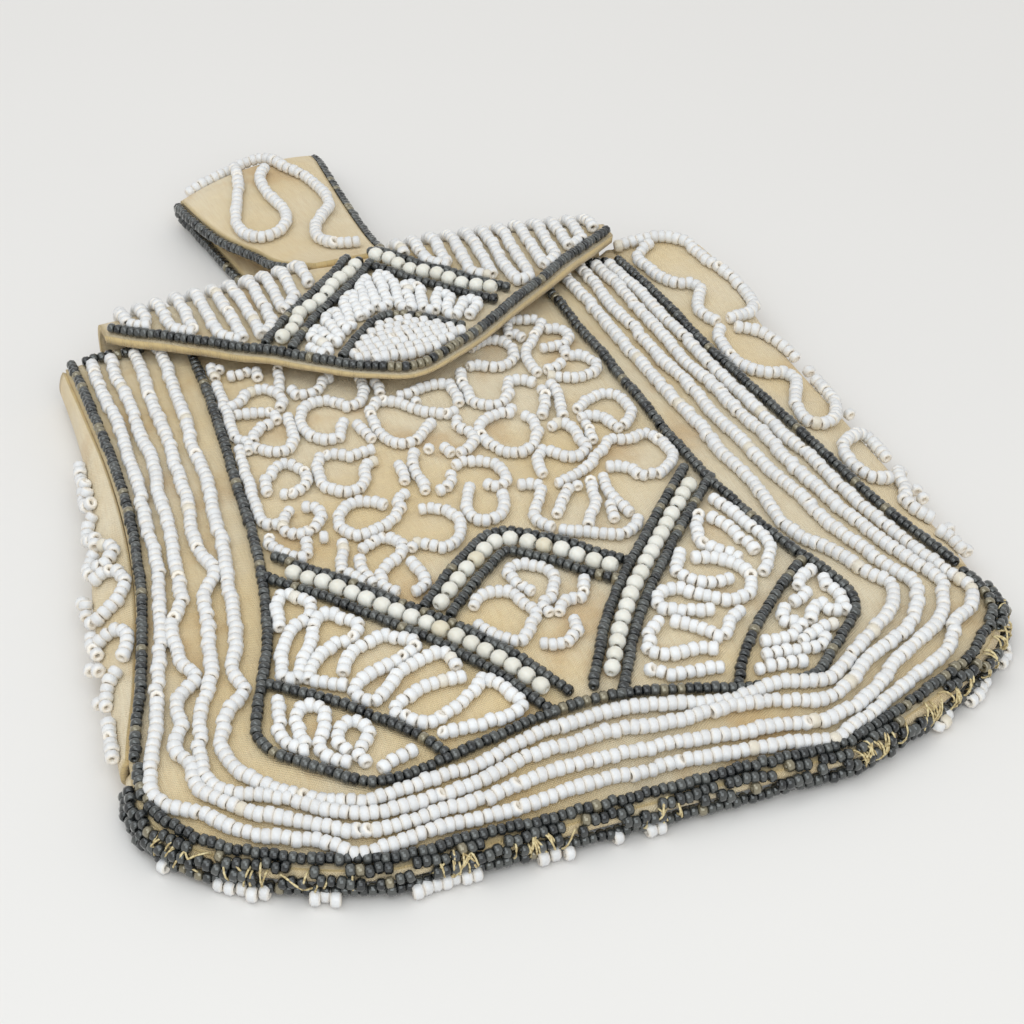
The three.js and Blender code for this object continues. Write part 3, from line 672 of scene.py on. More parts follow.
@dataclass(frozen=True)
class Wave:
    """A wave of the cloth: its height, how its phase grows with x and y, and its first phase."""

    height: float
    by_x: float
    by_y: float
    phase: float

    def read(self, x: Array, y: Array) -> Array:
        """Give the wave's height at places in plan."""
        return self.height * np.sin(self.by_x * x + self.by_y * y + self.phase)


RIPPLES = (
    Wave(0.14, 0.31, 0.17, 0.6),
    Wave(0.11, -0.19, 0.37, 2.1),
    Wave(0.07, 0.53, -0.41, 4.0),
)


def ripple(x: Array, y: Array) -> Array:
    """Give the slight unevenness of worn cloth: crossing waves of a few centimetres."""
    return sum(wave.read(x, y) for wave in RIPPLES)


class FrontGround(Ground):
    """The crowned front: highest along the middle and falling to the seams by a power curve."""

    calm_power = 4

    def points(self, a: Array, b: Array) -> Array:
        """Give the front's middle at x = a and y = b."""
        y = np.clip(b, BOTTOM_Y, MOUTH_Y)
        across = np.minimum(np.abs(a) / body_width(a, y), 1.0)
        z = lerp(BODY.read("crown_z", y), BODY.read("seam_z", y), across**CROWN_POWER)
        return joined(a, b, z + ripple(a, b) * (1.0 - across**self.calm_power))


class BackGround(Ground):
    """The flat back, which rests on its beads."""

    def points(self, a: Array, b: Array) -> Array:
        """Give the back's middle at x = a and y = b."""
        return joined(a, b, np.full_like(a, BACK_CLOTH_Z))


FRONT = FrontGround()
BACK = BackGround()


class FlapGround(Ground):
    """The flap: a sheet over the front, then half round the fold to the back."""

    lift = 3.8
    foot_z = 1.1

    def radius(self, x: Array) -> Array:
        """Give the fold's radius, half the rise from the back to the flap."""
        return 0.5 * (self.level(x, np.full_like(x, MOUTH_Y)) - self.foot_z)

    def level(self, x: Array, y: Array) -> Array:
        """Give the height of the flap's sheet over the front."""
        return FRONT.points(x, np.minimum(y, MOUTH_Y))[..., 2] + self.lift

    def points(self, a: Array, b: Array) -> Array:
        """Give the flap's middle at x = a, with b the run in y and then round the fold."""
        radius = self.radius(a)
        fold_y = FOLD.read("y", a)
        angle = np.maximum(b - fold_y, 0.0) / radius
        flat = self.level(a, b)
        y = np.minimum(b, fold_y) + radius * np.sin(angle)
        round_z = self.foot_z + radius * (1.0 + np.cos(angle))
        return joined(a, y, np.where(b > fold_y, round_z, flat))


class GussetGround(Ground):
    """A side gusset: the folded profile stood out from the seam by the spread at each y."""

    seam_gap = 0.1

    def __init__(self, side: Side) -> None:
        """Take the sign and the name of the gusset's side."""
        self.facing = side.value
        self.name = side.label

    def points(self, a: Array, b: Array) -> Array:
        """Give the gusset's middle at profile place a and y = b."""
        out = GUSSET_FOLD.read("out", a)
        up = GUSSET_FOLD.read("up", a)
        spread = GUSSETS.read(f"{self.name}_spread", b)
        x = BODY.read(f"{self.name}_width", b) + self.seam_gap + out * spread
        z = lerp(BACK_Z, BODY.read("seam_z", b), up) + out * GUSSETS.read(f"{self.name}_lift", b)
        return joined(self.facing * x, b, z)


class LoopGround(Ground):
    """The finger loop: its sections carried along the run, bowed across."""

    def points(self, a: Array, b: Array) -> Array:
        """Give the loop's middle at share a across and b along the run."""
        x = LOOP.read("middle_x", b) + a * LOOP.read("half_width", b)
        y = LOOP.read("y", b) + a * LOOP.read("skew", b)
        z = LOOP.read("z", b) + LOOP.read("bow", b) * (1.0 - a**2)
        return joined(x, y, z)


class SeamGround(Ground):
    """The closed bottom seam: a narrow strip from the front's edge round to the back's.

    The first coordinate runs along the seam from the left corner, the second across it from 0
    at the front to 1 at the back, and the strip bulges outwards as a half sine.
    """

    bulge = 0.9
    facing = -1.0
    inset = 0.3
    front_rise = 0.2
    back_z = 1.7

    def __init__(self) -> None:
        """Lay out the seam's line and its outward direction."""
        self.line = bottom_line(self.inset)
        self.run = lengths_along(self.line)
        self.outward = offset_line(self.line, -1.0) - self.line

    def points(self, a: Array, b: Array) -> Array:
        """Give the strip's middle at a along the seam and b across it."""
        x, y = (np.interp(a, self.run, column) for column in self.line.T)
        out_x, out_y = (np.interp(a, self.run, column) for column in self.outward.T)
        swell = self.bulge * np.sin(math.pi * b)
        z = lerp(FRONT.points(x, y)[..., 2] + self.front_rise, self.back_z, b)
        return joined(x + swell * out_x, y + swell * out_y, z)


FLAP = FlapGround()


@dataclass(frozen=True)
class BeadShape:
    """A bead's size, the profile that is turned about its thread, and how unevenly it sits.

    stray is a share of the pitch and lean a share of the tilt; loose is the share of the beads
    that lean over, by loose_lean.
    """

    diameter: float
    length: float
    pitch: float
    profile: Points = (
        (-0.36, 0.36), (-0.5, 0.7), (-0.26, 0.98), (0.26, 0.98), (0.5, 0.7), (0.36, 0.36),
    )
    segments: int = 8
    unevenness: float = 0.07
    tilt: float = 0.11
    stray: float = 0.03
    lean: float = 0.6
    loose: float = 0.03
    loose_lean: Span = (0.8, 1.6)


SEED_WHITE = BeadShape(2.15, 1.39, 1.28)
SEED_FIELD = BeadShape(1.88, 1.26, 1.16)
SEED_CHALK = BeadShape(2.02, 1.4, 1.29)
SEED_DARK = BeadShape(1.74, 1.22, 1.18, loose=0.0)
ROUND_CREAM = BeadShape(
    CREAM_BEAD, 2.3, 2.42,
    profile=((-0.44, 0.3), (-0.5, 0.45), (-0.38, 0.75), (-0.14, 0.98), (0.14, 0.98),
             (0.38, 0.75), (0.5, 0.45), (0.44, 0.3)),
    segments=12, unevenness=0.04, tilt=0.08, loose=0.0,
)


def bead_height(cloth: float, shape: BeadShape) -> float:
    """Give the height of a bead's middle above the middle of the cloth that it sinks into."""
    return 0.5 * cloth + CLEARANCE + 0.5 * shape.diameter - BEAD_SEAT


@dataclass
class BeadRun:
    """Beads in order along their threads.

    centres, along and up are points and unit directions; size scales each bead and shade is a
    number from 0 to 1 that its finish reads.
    """

    centres: Array
    along: Array
    up: Array
    size: Array
    shade: Array

    def pick(self, keep: Array) -> "BeadRun":
        """Give the beads that a mask keeps."""
        return BeadRun(
            self.centres[keep], self.along[keep], self.up[keep], self.size[keep], self.shade[keep]
        )

    @staticmethod
    def join(runs: list["BeadRun"]) -> "BeadRun":
        """Put several runs together as one."""
        names = ("centres", "along", "up", "size", "shade")
        return BeadRun(*(np.concatenate([getattr(run, name) for run in runs]) for name in names))

    def clear_of(self, gap: float) -> Array:
        """Tell which beads lie clear of earlier strands.

        A bead is not clear when one threaded at least two places before it is nearer than the gap.

        Args:
            gap: Least distance between the centres.

        Returns:
            A mask of the clear beads.
        """
        apart = np.linalg.norm(self.centres[:, None] - self.centres[None], axis=-1)
        earlier = np.tril(np.ones(apart.shape, bool), -2)
        return ~np.any(earlier & (apart < gap), axis=1)

    def spaced(self, gap: float) -> "BeadRun":
        """Leave out beads that fall on an earlier strand."""
        return self.pick(self.clear_of(gap))


def thread_beads(
    ground: Ground,
    line: Array,
    height: float,
    shape: BeadShape,
    rng: Random,
    wander: float = 0.05,
) -> BeadRun:
    """Thread beads along a line on a cloth surface.

    The line is lifted off the surface, walked at the bead's pitch, and each bead is turned a
    little about its normal and made a little larger or smaller. A few loose beads lean over
    and show their holes.

    Args:
        ground: The surface.
        line: Dense points of the line in surface coordinates.
        height: Height of the bead centres above the cloth's middle.
        shape: The bead.
        rng: Source of the variation.
        wander: Sideways unevenness of the row.

    Returns:
        The beads.
    """
    points, normals = ground.place(line[:, 0], line[:, 1], height)
    travelled = lengths_along(points)
    count = max(int(travelled[-1] / shape.pitch), 1)
    at = (np.arange(count) + 0.5) * (travelled[-1] / count)
    at += rng.normal(0, shape.stray * shape.pitch, count)

    def read(columns: Array) -> Array:
        """Read rows of vectors at the bead places."""
        return np.stack([np.interp(at, travelled, column) for column in columns.T], axis=-1)

    centres = read(points)
    up = read(normals)
    along = unit(read(np.gradient(points, axis=0)))
    side = np.cross(up, along)
    turn = rng.normal(0, shape.tilt, count)[:, None]
    lean = rng.normal(0, shape.lean * shape.tilt, count)
    loose = rng.random(count) < shape.loose
    lean = np.where(loose, rng.uniform(*shape.loose_lean, count), lean)[:, None]
    along = unit(along + turn * side + lean * up)
    up = up - lean * along
    centres = centres + rng.normal(0, wander, count)[:, None] * side
    size = 1.0 + rng.uniform(-shape.unevenness, shape.unevenness, count)
    return BeadRun(centres, along, up, size, rng.uniform(0, 1, count))


def make_object(
    name: str, vertices: Array, quads: Array, attributes: dict[str, Array], uv: Array | None = None
) -> Piece:
    """Put vertex and face arrays into a new mesh object at the origin.

    Args:
        name: Name of the piece.
        vertices: Points in millimetres.
        quads: Four corner numbers for each face.
        attributes: Values for each point, by attribute name.
        uv: Cloth coordinates for each point, if it has any.

    Returns:
        The object, linked to the scene.
    """
    mesh = bpy.data.meshes.new(name)
    mesh.vertices.add(len(vertices))
    mesh.vertices.foreach_set("co", (vertices * MM).astype(np.float32).ravel())
    mesh.loops.add(quads.size)
    mesh.polygons.add(len(quads))
    mesh.polygons.foreach_set("loop_start", np.arange(0, quads.size, 4, dtype=np.int32))
    mesh.loops.foreach_set("vertex_index", quads.astype(np.int32).ravel())
    mesh.update(calc_edges=True)
    mesh.shade_smooth()
    for label, values in attributes.items():
        layer = mesh.attributes.new(label, "FLOAT", "POINT")
        layer.data.foreach_set("value", values.astype(np.float32))
    if uv is not None:
        layer = mesh.uv_layers.new(name="cloth")
        layer.data.foreach_set("uv", uv[quads.ravel()].astype(np.float32).ravel())
    piece = bpy.data.objects.new(name, mesh)
    bpy.context.scene.collection.objects.link(piece)
    return piece


def circles(first: Array, second: Array, turns: int) -> Array:
    """Give the directions round a circle at each place, from the circle's two axes."""
    angle = np.arange(turns) * 2 * math.pi / turns
    return np.cos(angle)[:, None] * first[:, None] + np.sin(angle)[:, None] * second[:, None]


def ring_quads(rings: int, turns: int) -> Array:
    """Join numbered rings of points into quads, each ring to the next and the last to the first."""
    ring, turn = grid(np.arange(rings), np.arange(turns))
    next_ring, next_turn = (ring + 1) % rings, (turn + 1) % turns
    corners = [
        ring * turns + turn, ring * turns + next_turn,
        next_ring * turns + next_turn, next_ring * turns + turn,
    ]
    return np.stack(corners, axis=-1).reshape(-1, 4)


def grid_quads(number: Array) -> Array:
    """Join the numbered points of a grid into quads, one for each cell."""
    corners = [number[:-1, :-1], number[1:, :-1], number[1:, 1:], number[:-1, 1:]]
    return np.stack(corners, axis=-1).reshape(-1, 4)


def bead_object(name: str, beads: BeadRun, shape: BeadShape) -> Piece:
    """Join beads into one mesh.

    Each bead is its profile turned about the thread: a point at share (l, r) of the profile and
    angle t lies l lengths along the thread and r radii out, at cos t to the side and sin t up.
    The attribute end is 1 on the bead's narrow rings and 0 on its widest ones; the glass finish
    reads it to paint light on the ends, painted light in the gaps between beads.

    Args:
        name: Name of the piece.
        beads: Where the beads are.
        shape: Their profile and size.

    Returns:
        The joined object.
    """
    profile = np.asarray(shape.profile)
    rings, turns = len(profile), shape.segments
    side = unit(np.cross(beads.up, beads.along))
    out = circles(side, np.cross(beads.along, side), turns)
    along = profile[:, 0] * shape.length
    radial = profile[:, 1] * 0.5 * shape.diameter
    local = (
        along[None, :, None, None] * beads.along[:, None, None]
        + radial[None, :, None, None] * out[:, None]
    )
    vertices = beads.centres[:, None, None] + beads.size[:, None, None, None] * local
    starts = np.arange(len(beads.centres)) * rings * turns
    quads = (starts[:, None, None] + ring_quads(rings, turns)[None]).reshape(-1, 4)
    shade = np.repeat(beads.shade, rings * turns)
    narrow = profile[:, 1] < profile[:, 1].max()
    end = np.tile(np.repeat(narrow, turns), len(beads.centres))
    return make_object(name, vertices.reshape(-1, 3), quads, {"shade": shade, "end": end})


def cloth_object(
    name: str, ground: Ground, a: Array, b: Array, top: float, bottom: float | Array
) -> Piece:
    """Make a closed wall of cloth on a grid of surface coordinates.

    The upper and lower faces are the surface moved along its normal, joined round the rim. The
    cloth coordinates are the distances travelled along the grid's two directions, and the rim's
    points carry the edge mask by which the silk darkens the rim, partly wear and partly painted
    shade.
    points carry the worn edge that the silk reads.

    Args:
        name: Name of the piece.
        ground: The surface.
        a: Grid of first coordinates.
        b: Grid of second coordinates, rising along the second axis.
        top: Height of the upper face above the middle.
        bottom: Height of the lower face, one for all or one for each grid point.

    Returns:
        The cloth object.
    """
    upper, _ = ground.place(a, b, top)
    lower, _ = ground.place(a, b, np.broadcast_to(bottom, a.shape)[..., None])
    rows, columns = a.shape
    number = np.arange(rows * columns).reshape(rows, columns)
    below = number + rows * columns
    ring = np.concatenate([number[:-1, 0], number[-1, :-1], number[:0:-1, -1], number[0, :0:-1]])
    after = np.roll(ring, -1)
    rim = joined(ring, ring + rows * columns, after + rows * columns, after)
    quads = np.concatenate([grid_quads(number), grid_quads(below.T), rim])
    if ground.facing < 0:
        quads = quads[:, ::-1]
    across = np.linalg.norm(np.diff(upper, axis=0, prepend=upper[:1]), axis=-1).cumsum(axis=0)
    along = np.linalg.norm(np.diff(upper, axis=1, prepend=upper[:, :1]), axis=-1).cumsum(axis=1)
    across -= across[rows // 2]
    uv = joined(across, along).reshape(-1, 2)
    vertices = np.concatenate([upper.reshape(-1, 3), lower.reshape(-1, 3)])
    edge = np.zeros(rows * columns)
    edge[ring] = 1.0
    return make_object(
        name, vertices, quads, {"edge": np.concatenate([edge, edge])}, np.concatenate([uv, uv])
    )


THREAD_SIDES = 6
THREAD_END = 0.05
OFF_AXIS = (0.31, 0.17, 0.94)
FIRST_CAP = np.array(((0, 5, 4, 3), (0, 3, 2, 1)))
LAST_CAP = np.array(((0, 1, 2, 3), (0, 3, 4, 5)))


def tube_object(name: str, paths: list[Array], radius: float) -> Piece:
    """Carry a small hexagon along each of several threads and join them, with closed ends.

    Args:
        name: Name of the piece.
        paths: Points of each thread.
        radius: Radius of the thread.

    Returns:
        The joined object.
    """
    vertices, quads, start = [], [], 0
    for path in paths:
        run = unit(np.gradient(path, axis=0))
        first = unit(np.cross(run, OFF_AXIS))
        circle = circles(first, np.cross(run, first), THREAD_SIDES)
        swell = np.ones(len(path))
        swell[[0, -1]] = THREAD_END
        vertices.append((path[:, None] + radius * swell[:, None, None] * circle).reshape(-1, 3))
        wall = ring_quads(len(path), THREAD_SIDES)[:-THREAD_SIDES]
        last = start + (len(path) - 1) * THREAD_SIDES
        quads += [start + wall, start + FIRST_CAP, last + LAST_CAP]
        start += len(path) * THREAD_SIDES
    return make_object(name, np.concatenate(vertices), np.concatenate(quads), {})


class NodeTools:
    """Small helpers for building a node tree.

    mix_inputs are the places of the share and the two colours on a Mix node, and mix_result is
    the place of its colour.
    """

    mix_inputs = (0, 6, 7)
    mix_result = 2

    def __init__(self, tree: NodeTree) -> None:
        """Hold the tree to build in."""
        self.tree = tree

    def add(self, kind: str, **settings: object) -> bpy.types.Node:
        """Add a node and set its properties."""
        node = self.tree.nodes.new(kind)
        for name, value in settings.items():
            setattr(node, name, value)
        return node

    def link(self, source: Socket, target: Socket) -> None:
        """Join two sockets."""
        self.tree.links.new(source, target)

    def feed(self, socket: Socket, value: object) -> None:
        """Give an input its value: another socket, a colour or a number."""
        if isinstance(value, Socket):
            self.link(value, socket)
        else:
            socket.default_value = (*value, 1.0) if isinstance(value, tuple) else value

    def math(self, operation: str, *values: object) -> Socket:
        """Add a Math node fed by sockets or numbers, and give its result."""
        node = self.add("ShaderNodeMath", operation=operation)
        for socket, value in zip(node.inputs, values):
            self.feed(socket, value)
        return node.outputs[0]

    def mix(self, share: object, start: object, end: object) -> Socket:
        """Mix two colours.

        Args:
            share: Socket or number from 0 to 1.
            start: Socket or colour at 0.
            end: Socket or colour at 1.

        Returns:
            The colour socket.
        """
        node = self.add("ShaderNodeMix", data_type="RGBA")
        for number, value in zip(self.mix_inputs, (share, start, end)):
            self.feed(node.inputs[number], value)
        return node.outputs[self.mix_result]

    def ramp(self, value: Socket, low: float, high: float) -> Socket:
        """Stretch a value smoothly from 0 at low to 1 at high.

        Args:
            value: The socket to stretch.
            low: Value that becomes 0.
            high: Value that becomes 1.

        Returns:
            The result socket.
        """
        node = self.add("ShaderNodeMapRange", interpolation_type="SMOOTHSTEP")
        self.link(value, node.inputs[0])
        node.inputs[1].default_value = low
        node.inputs[2].default_value = high
        return node.outputs[0]

    def noise(self, vector: Socket, scale: float, detail: float = 2.0) -> Socket:
        """Add a noise texture.

        Args:
            vector: Where it is read.
            scale: Its scale.
            detail: Its levels of detail.

        Returns:
            The grey value.
        """
        node = self.add("ShaderNodeTexNoise")
        self.link(vector, node.inputs["Vector"])
        node.inputs["Scale"].default_value = scale
        node.inputs["Detail"].default_value = detail
        return node.outputs[0]


def new_group(name: str, inputs: dict[str, str], outputs: dict[str, str]) -> NodeTree:
    """Start a shader node group with named sockets.

    Args:
        name: Name of the group.
        inputs: Socket kinds by input name.
        outputs: Socket kinds by output name.

    Returns:
        The group's tree.
    """
    tree = bpy.data.node_groups.new(name, "ShaderNodeTree")
    for label, kind in inputs.items():
        tree.interface.new_socket(label, in_out="INPUT", socket_type=kind)
    for label, kind in outputs.items():
        tree.interface.new_socket(label, in_out="OUTPUT", socket_type=kind)
    return tree


STRAY_SCALE = 0.9
THREAD_STRAY = (0.35, 0.35, 0.0)
SLUB_STRETCH = (3.4, 0.25, 1.0)


def weave_group() -> NodeTree:
    """Build the weave: two crossing sets of threads, a little uneven.

    The height is the product of two sine waves of the thread pitch, so threads pass over and
    under in turn, on coordinates that a fine noise shifts.

    Returns:
        The group, with Vector and Threads in, Height and Slub out.
    """
    tree = new_group(
        "thread_weave",
        {"Vector": "NodeSocketVector", "Threads": "NodeSocketFloat"},
        {"Height": "NodeSocketFloat", "Slub": "NodeSocketFloat"},
    )
    kit = NodeTools(tree)
    source = kit.add("NodeGroupInput")
    target = kit.add("NodeGroupOutput")
    shift = kit.add("ShaderNodeTexNoise")
    kit.link(source.outputs["Vector"], shift.inputs["Vector"])
    shift.inputs["Scale"].default_value = STRAY_SCALE
    bent = kit.add("ShaderNodeVectorMath", operation="MULTIPLY_ADD")
    kit.link(shift.outputs[1], bent.inputs[0])
    bent.inputs[1].default_value = THREAD_STRAY
    kit.link(source.outputs["Vector"], bent.inputs[2])
    parts = kit.add("ShaderNodeSeparateXYZ")
    kit.link(bent.outputs[0], parts.inputs[0])
    waves = []
    for axis in (0, 1):
        phase = kit.math("MULTIPLY", parts.outputs[axis], source.outputs["Threads"])
        waves.append(kit.math("SINE", phase))
    kit.link(kit.math("MULTIPLY", waves[0], waves[1]), target.inputs["Height"])
    stretch = kit.add("ShaderNodeVectorMath", operation="MULTIPLY")
    kit.link(source.outputs["Vector"], stretch.inputs[0])
    stretch.inputs[1].default_value = SLUB_STRETCH
    kit.link(kit.noise(stretch.outputs[0], scale=1.0, detail=3.0), target.inputs["Slub"])
    return tree


def age_group() -> NodeTree:
    """Build the marks of age: broad fading and small brown stains, from noise of two scales.

    Returns:
        The group, with Vector in, Fade and Stain out.
    """
    tree = new_group(
        "age_marks",
        {"Vector": "NodeSocketVector"},
        {"Fade": "NodeSocketFloat", "Stain": "NodeSocketFloat"},
    )
    kit = NodeTools(tree)
    source = kit.add("NodeGroupInput")
    target = kit.add("NodeGroupOutput")
    kit.link(kit.noise(source.outputs["Vector"], scale=34.0, detail=4.0), target.inputs["Fade"])
    spots = kit.noise(source.outputs["Vector"], scale=95.0, detail=5.0)
    kit.link(kit.ramp(spots, low=0.52, high=0.74), target.inputs["Stain"])
    return tree


def new_material(name: str) -> tuple[Material, NodeTools, bpy.types.Node]:
    """Start a material with one Principled shader.

    Args:
        name: Name of the material.

    Returns:
        The material, its node tools and the shader.
    """
    material = bpy.data.materials.new(name)
    material.use_nodes = True
    kit = NodeTools(material.node_tree)
    return material, kit, material.node_tree.nodes["Principled BSDF"]


@dataclass(frozen=True)
class SilkFinish:
    """Old golden silk: woven, faded in places, stained in others, its rim part wear and part painted
    shade.
    """

    name: str = "golden_silk"
    cloth: Colour = (0.80, 0.645, 0.375)
    faded: Colour = (0.85, 0.755, 0.555)
    stained: Colour = (0.56, 0.34, 0.12)
    rim_worn_and_shaded: Colour = (0.60, 0.465, 0.22)
    threads: float = 15.0
    relief: float = 0.00006
    pucker: float = 14.0
    pucker_scale: float = 210.0
    rim_wear_and_shade_share: float = 0.85
    fade_range: Span = (0.35, 0.65)
    stain_share: float = 0.55
    slub_range: Span = (0.3, 0.75)
    slub_share: float = 0.2
    painted_hollow_shade_share: float = 0.22
    roughness: float = 0.78
    sheen: float = 0.25

    def material(self, weave: NodeTree, age: NodeTree) -> Material:
        """Build the silk material.

        Args:
            weave: The thread weave group.
            age: The age marks group.

        Returns:
            The material.
        """
        material, kit, shader = new_material(self.name)
        cloth_map = kit.add("ShaderNodeUVMap", uv_map="cloth")
        place = kit.add("ShaderNodeTexCoord")
        woven = kit.add("ShaderNodeGroup", node_tree=weave)
        kit.link(cloth_map.outputs[0], woven.inputs["Vector"])
        woven.inputs["Threads"].default_value = self.threads
        marks = kit.add("ShaderNodeGroup", node_tree=age)
        kit.link(place.outputs["Object"], marks.inputs["Vector"])
        fade = kit.ramp(marks.outputs["Fade"], *self.fade_range)
        colour = kit.mix(fade, self.cloth, self.faded)
        stain = kit.math("MULTIPLY", marks.outputs["Stain"], self.stain_share)
        colour = kit.mix(stain, colour, self.stained)
        # Wear and painted shade: the rim is mixed towards a darker golden colour, partly wear of the
        # edge and partly painted shade on it.
        edge = kit.add("ShaderNodeAttribute", attribute_name="edge").outputs["Fac"]
        colour = kit.mix(kit.math("MULTIPLY", edge, self.rim_wear_and_shade_share), colour, self.rim_worn_and_shaded)
        slub = kit.ramp(woven.outputs["Slub"], *self.slub_range)
        colour = kit.mix(kit.math("MULTIPLY", slub, self.slub_share), colour, self.stained)
        # Painted shade: where the weave is low the colour is darkened towards the stain colour.
        grain = kit.ramp(woven.outputs["Height"], -1.0, 1.0)
        shadow = kit.math("MULTIPLY", kit.math("SUBTRACT", 1.0, grain), self.painted_hollow_shade_share)
        kit.link(kit.mix(shadow, colour, self.stained), shader.inputs["Base Color"])
        bump = kit.add("ShaderNodeBump")
        bump.inputs["Distance"].default_value = self.relief
        pucker = kit.noise(place.outputs["Object"], self.pucker_scale)
        pucker = kit.math("MULTIPLY", pucker, self.pucker)
        kit.link(kit.math("ADD", woven.outputs["Height"], pucker), bump.inputs["Height"])
        kit.link(bump.outputs[0], shader.inputs["Normal"])
        shader.inputs["Roughness"].default_value = self.roughness
        shader.inputs["Sheen Weight"].default_value = self.sheen
        return material


@dataclass(frozen=True)
class GlassFinish:
    """Glass seed beads: body colour varying by bead, a bright surface, and painted light at the ends.
    """

    name: str
    body: Colour
    other: Colour
    worn: Colour
    worn_above: float
    roughness: float
    metallic: float = 0.0
    glow: float = 0.0
    coat: float = 0.0
    cloud_scale: float = 900.0
    cloud: float = 0.25
    painted_gap_light: Colour = (0.95, 0.87, 0.76)
    painted_gap_light_share: float = 0.0
    shade_range: Span = (0.1, 0.8)
    cloud_range: Span = (0.35, 0.7)
    dullness: Span = (0.75, 1.35)
    coat_roughness: float = 0.08
    glow_colour: Colour = (1.0, 0.92, 0.84)
    glow_depth: float = 0.001

    def material(self) -> Material:
        """Build the glass material from the bead's shade, a fine cloudiness and painted light at its
        ends.

        Returns:
            The material.
        """
        material, kit, shader = new_material(self.name)
        shade = kit.add("ShaderNodeAttribute", attribute_name="shade").outputs["Fac"]
        place = kit.add("ShaderNodeTexCoord")
        cloud = kit.noise(place.outputs["Object"], self.cloud_scale, detail=3.0)
        colour = kit.mix(kit.ramp(shade, *self.shade_range), self.body, self.other)
        clouded = kit.math("MULTIPLY", kit.ramp(cloud, *self.cloud_range), self.cloud)
        colour = kit.mix(clouded, colour, self.other)
        worn = kit.math("GREATER_THAN", shade, self.worn_above)
        colour = kit.mix(worn, colour, self.worn)
        # Painted light: the narrow ends are mixed towards a light warm colour, for the light that
        # glass and cloth send into the gaps between beads.
        end = kit.add("ShaderNodeAttribute", attribute_name="end").outputs["Fac"]
        gap_light = kit.math("MULTIPLY", end, self.painted_gap_light_share)
        kit.link(kit.mix(gap_light, colour, self.painted_gap_light), shader.inputs["Base Color"])
        dull = kit.add("ShaderNodeMapRange")
        kit.link(cloud, dull.inputs[0])
        for socket, share in zip(("To Min", "To Max"), self.dullness):
            dull.inputs[socket].default_value = share * self.roughness
        kit.link(dull.outputs[0], shader.inputs["Roughness"])
        shader.inputs["Metallic"].default_value = self.metallic
        shader.inputs["Coat Weight"].default_value = self.coat
        shader.inputs["Coat Roughness"].default_value = self.coat_roughness
        shader.inputs["Subsurface Weight"].default_value = self.glow
        shader.inputs["Subsurface Radius"].default_value = self.glow_colour
        shader.inputs["Subsurface Scale"].default_value = self.glow_depth
        return material


@dataclass(frozen=True)
class ThreadFinish:
    """Pale yellow sewing thread: two plies that wind round it, with painted shade between them."""

    name: str = "sewing_thread"
    thread: Colour = (0.74, 0.63, 0.36)
    ply_hollow_shade: Colour = (0.45, 0.34, 0.16)
    ply_scale: float = 2600.0
    ply_range: Span = (0.35, 0.65)
    relief: float = 0.00004
    roughness: float = 0.7

    def material(self) -> Material:
        """Build the thread material.

        Returns:
            The material.
        """
        material, kit, shader = new_material(self.name)
        place = kit.add("ShaderNodeTexCoord")
        ply = kit.noise(place.outputs["Object"], self.ply_scale)
        # Painted shade: the ply noise mixes the thread towards a darker brown for the hollows between
        # the plies.
        colour = kit.mix(kit.ramp(ply, *self.ply_range), self.thread, self.ply_hollow_shade)
        kit.link(colour, shader.inputs["Base Color"])
        bump = kit.add("ShaderNodeBump")
        bump.inputs["Distance"].default_value = self.relief
        kit.link(ply, bump.inputs["Height"])
        kit.link(bump.outputs[0], shader.inputs["Normal"])
        shader.inputs["Roughness"].default_value = self.roughness
        return material


class Finishes:
    """All finishes of the bag, each made once."""

    def __init__(self) -> None:
        """Build the node groups and materials."""
        self.silk = SilkFinish().material(weave_group(), age_group())
        self.opal = GlassFinish(
            "opal_white_glass", (0.705, 0.702, 0.70), (0.755, 0.757, 0.76), (0.71, 0.65, 0.54),
            0.985, 0.28, glow=0.25, coat=0.1, painted_gap_light_share=0.85,
        ).material()
        self.chalk = GlassFinish(
            "chalk_white_glass", (0.77, 0.775, 0.78), (0.83, 0.835, 0.84), (0.78, 0.74, 0.66),
            0.985, 0.32, glow=0.25, painted_gap_light_share=0.7,
        ).material()
        self.cream = GlassFinish(
            "cream_pearl_glass", (0.72, 0.695, 0.61), (0.78, 0.765, 0.70), (0.70, 0.64, 0.50),
            0.95, 0.24, glow=0.6, coat=0.2, cloud_scale=600.0, cloud=0.6,
        ).material()
        self.gunmetal = GlassFinish(
            "gunmetal_glass", (0.01, 0.012, 0.014), (0.085, 0.09, 0.086), (0.24, 0.21, 0.14),
            0.955, 0.14, metallic=0.4, coat=0.8, cloud_scale=1400.0, cloud=0.5,
        ).material()
        self.thread = ThreadFinish().material()


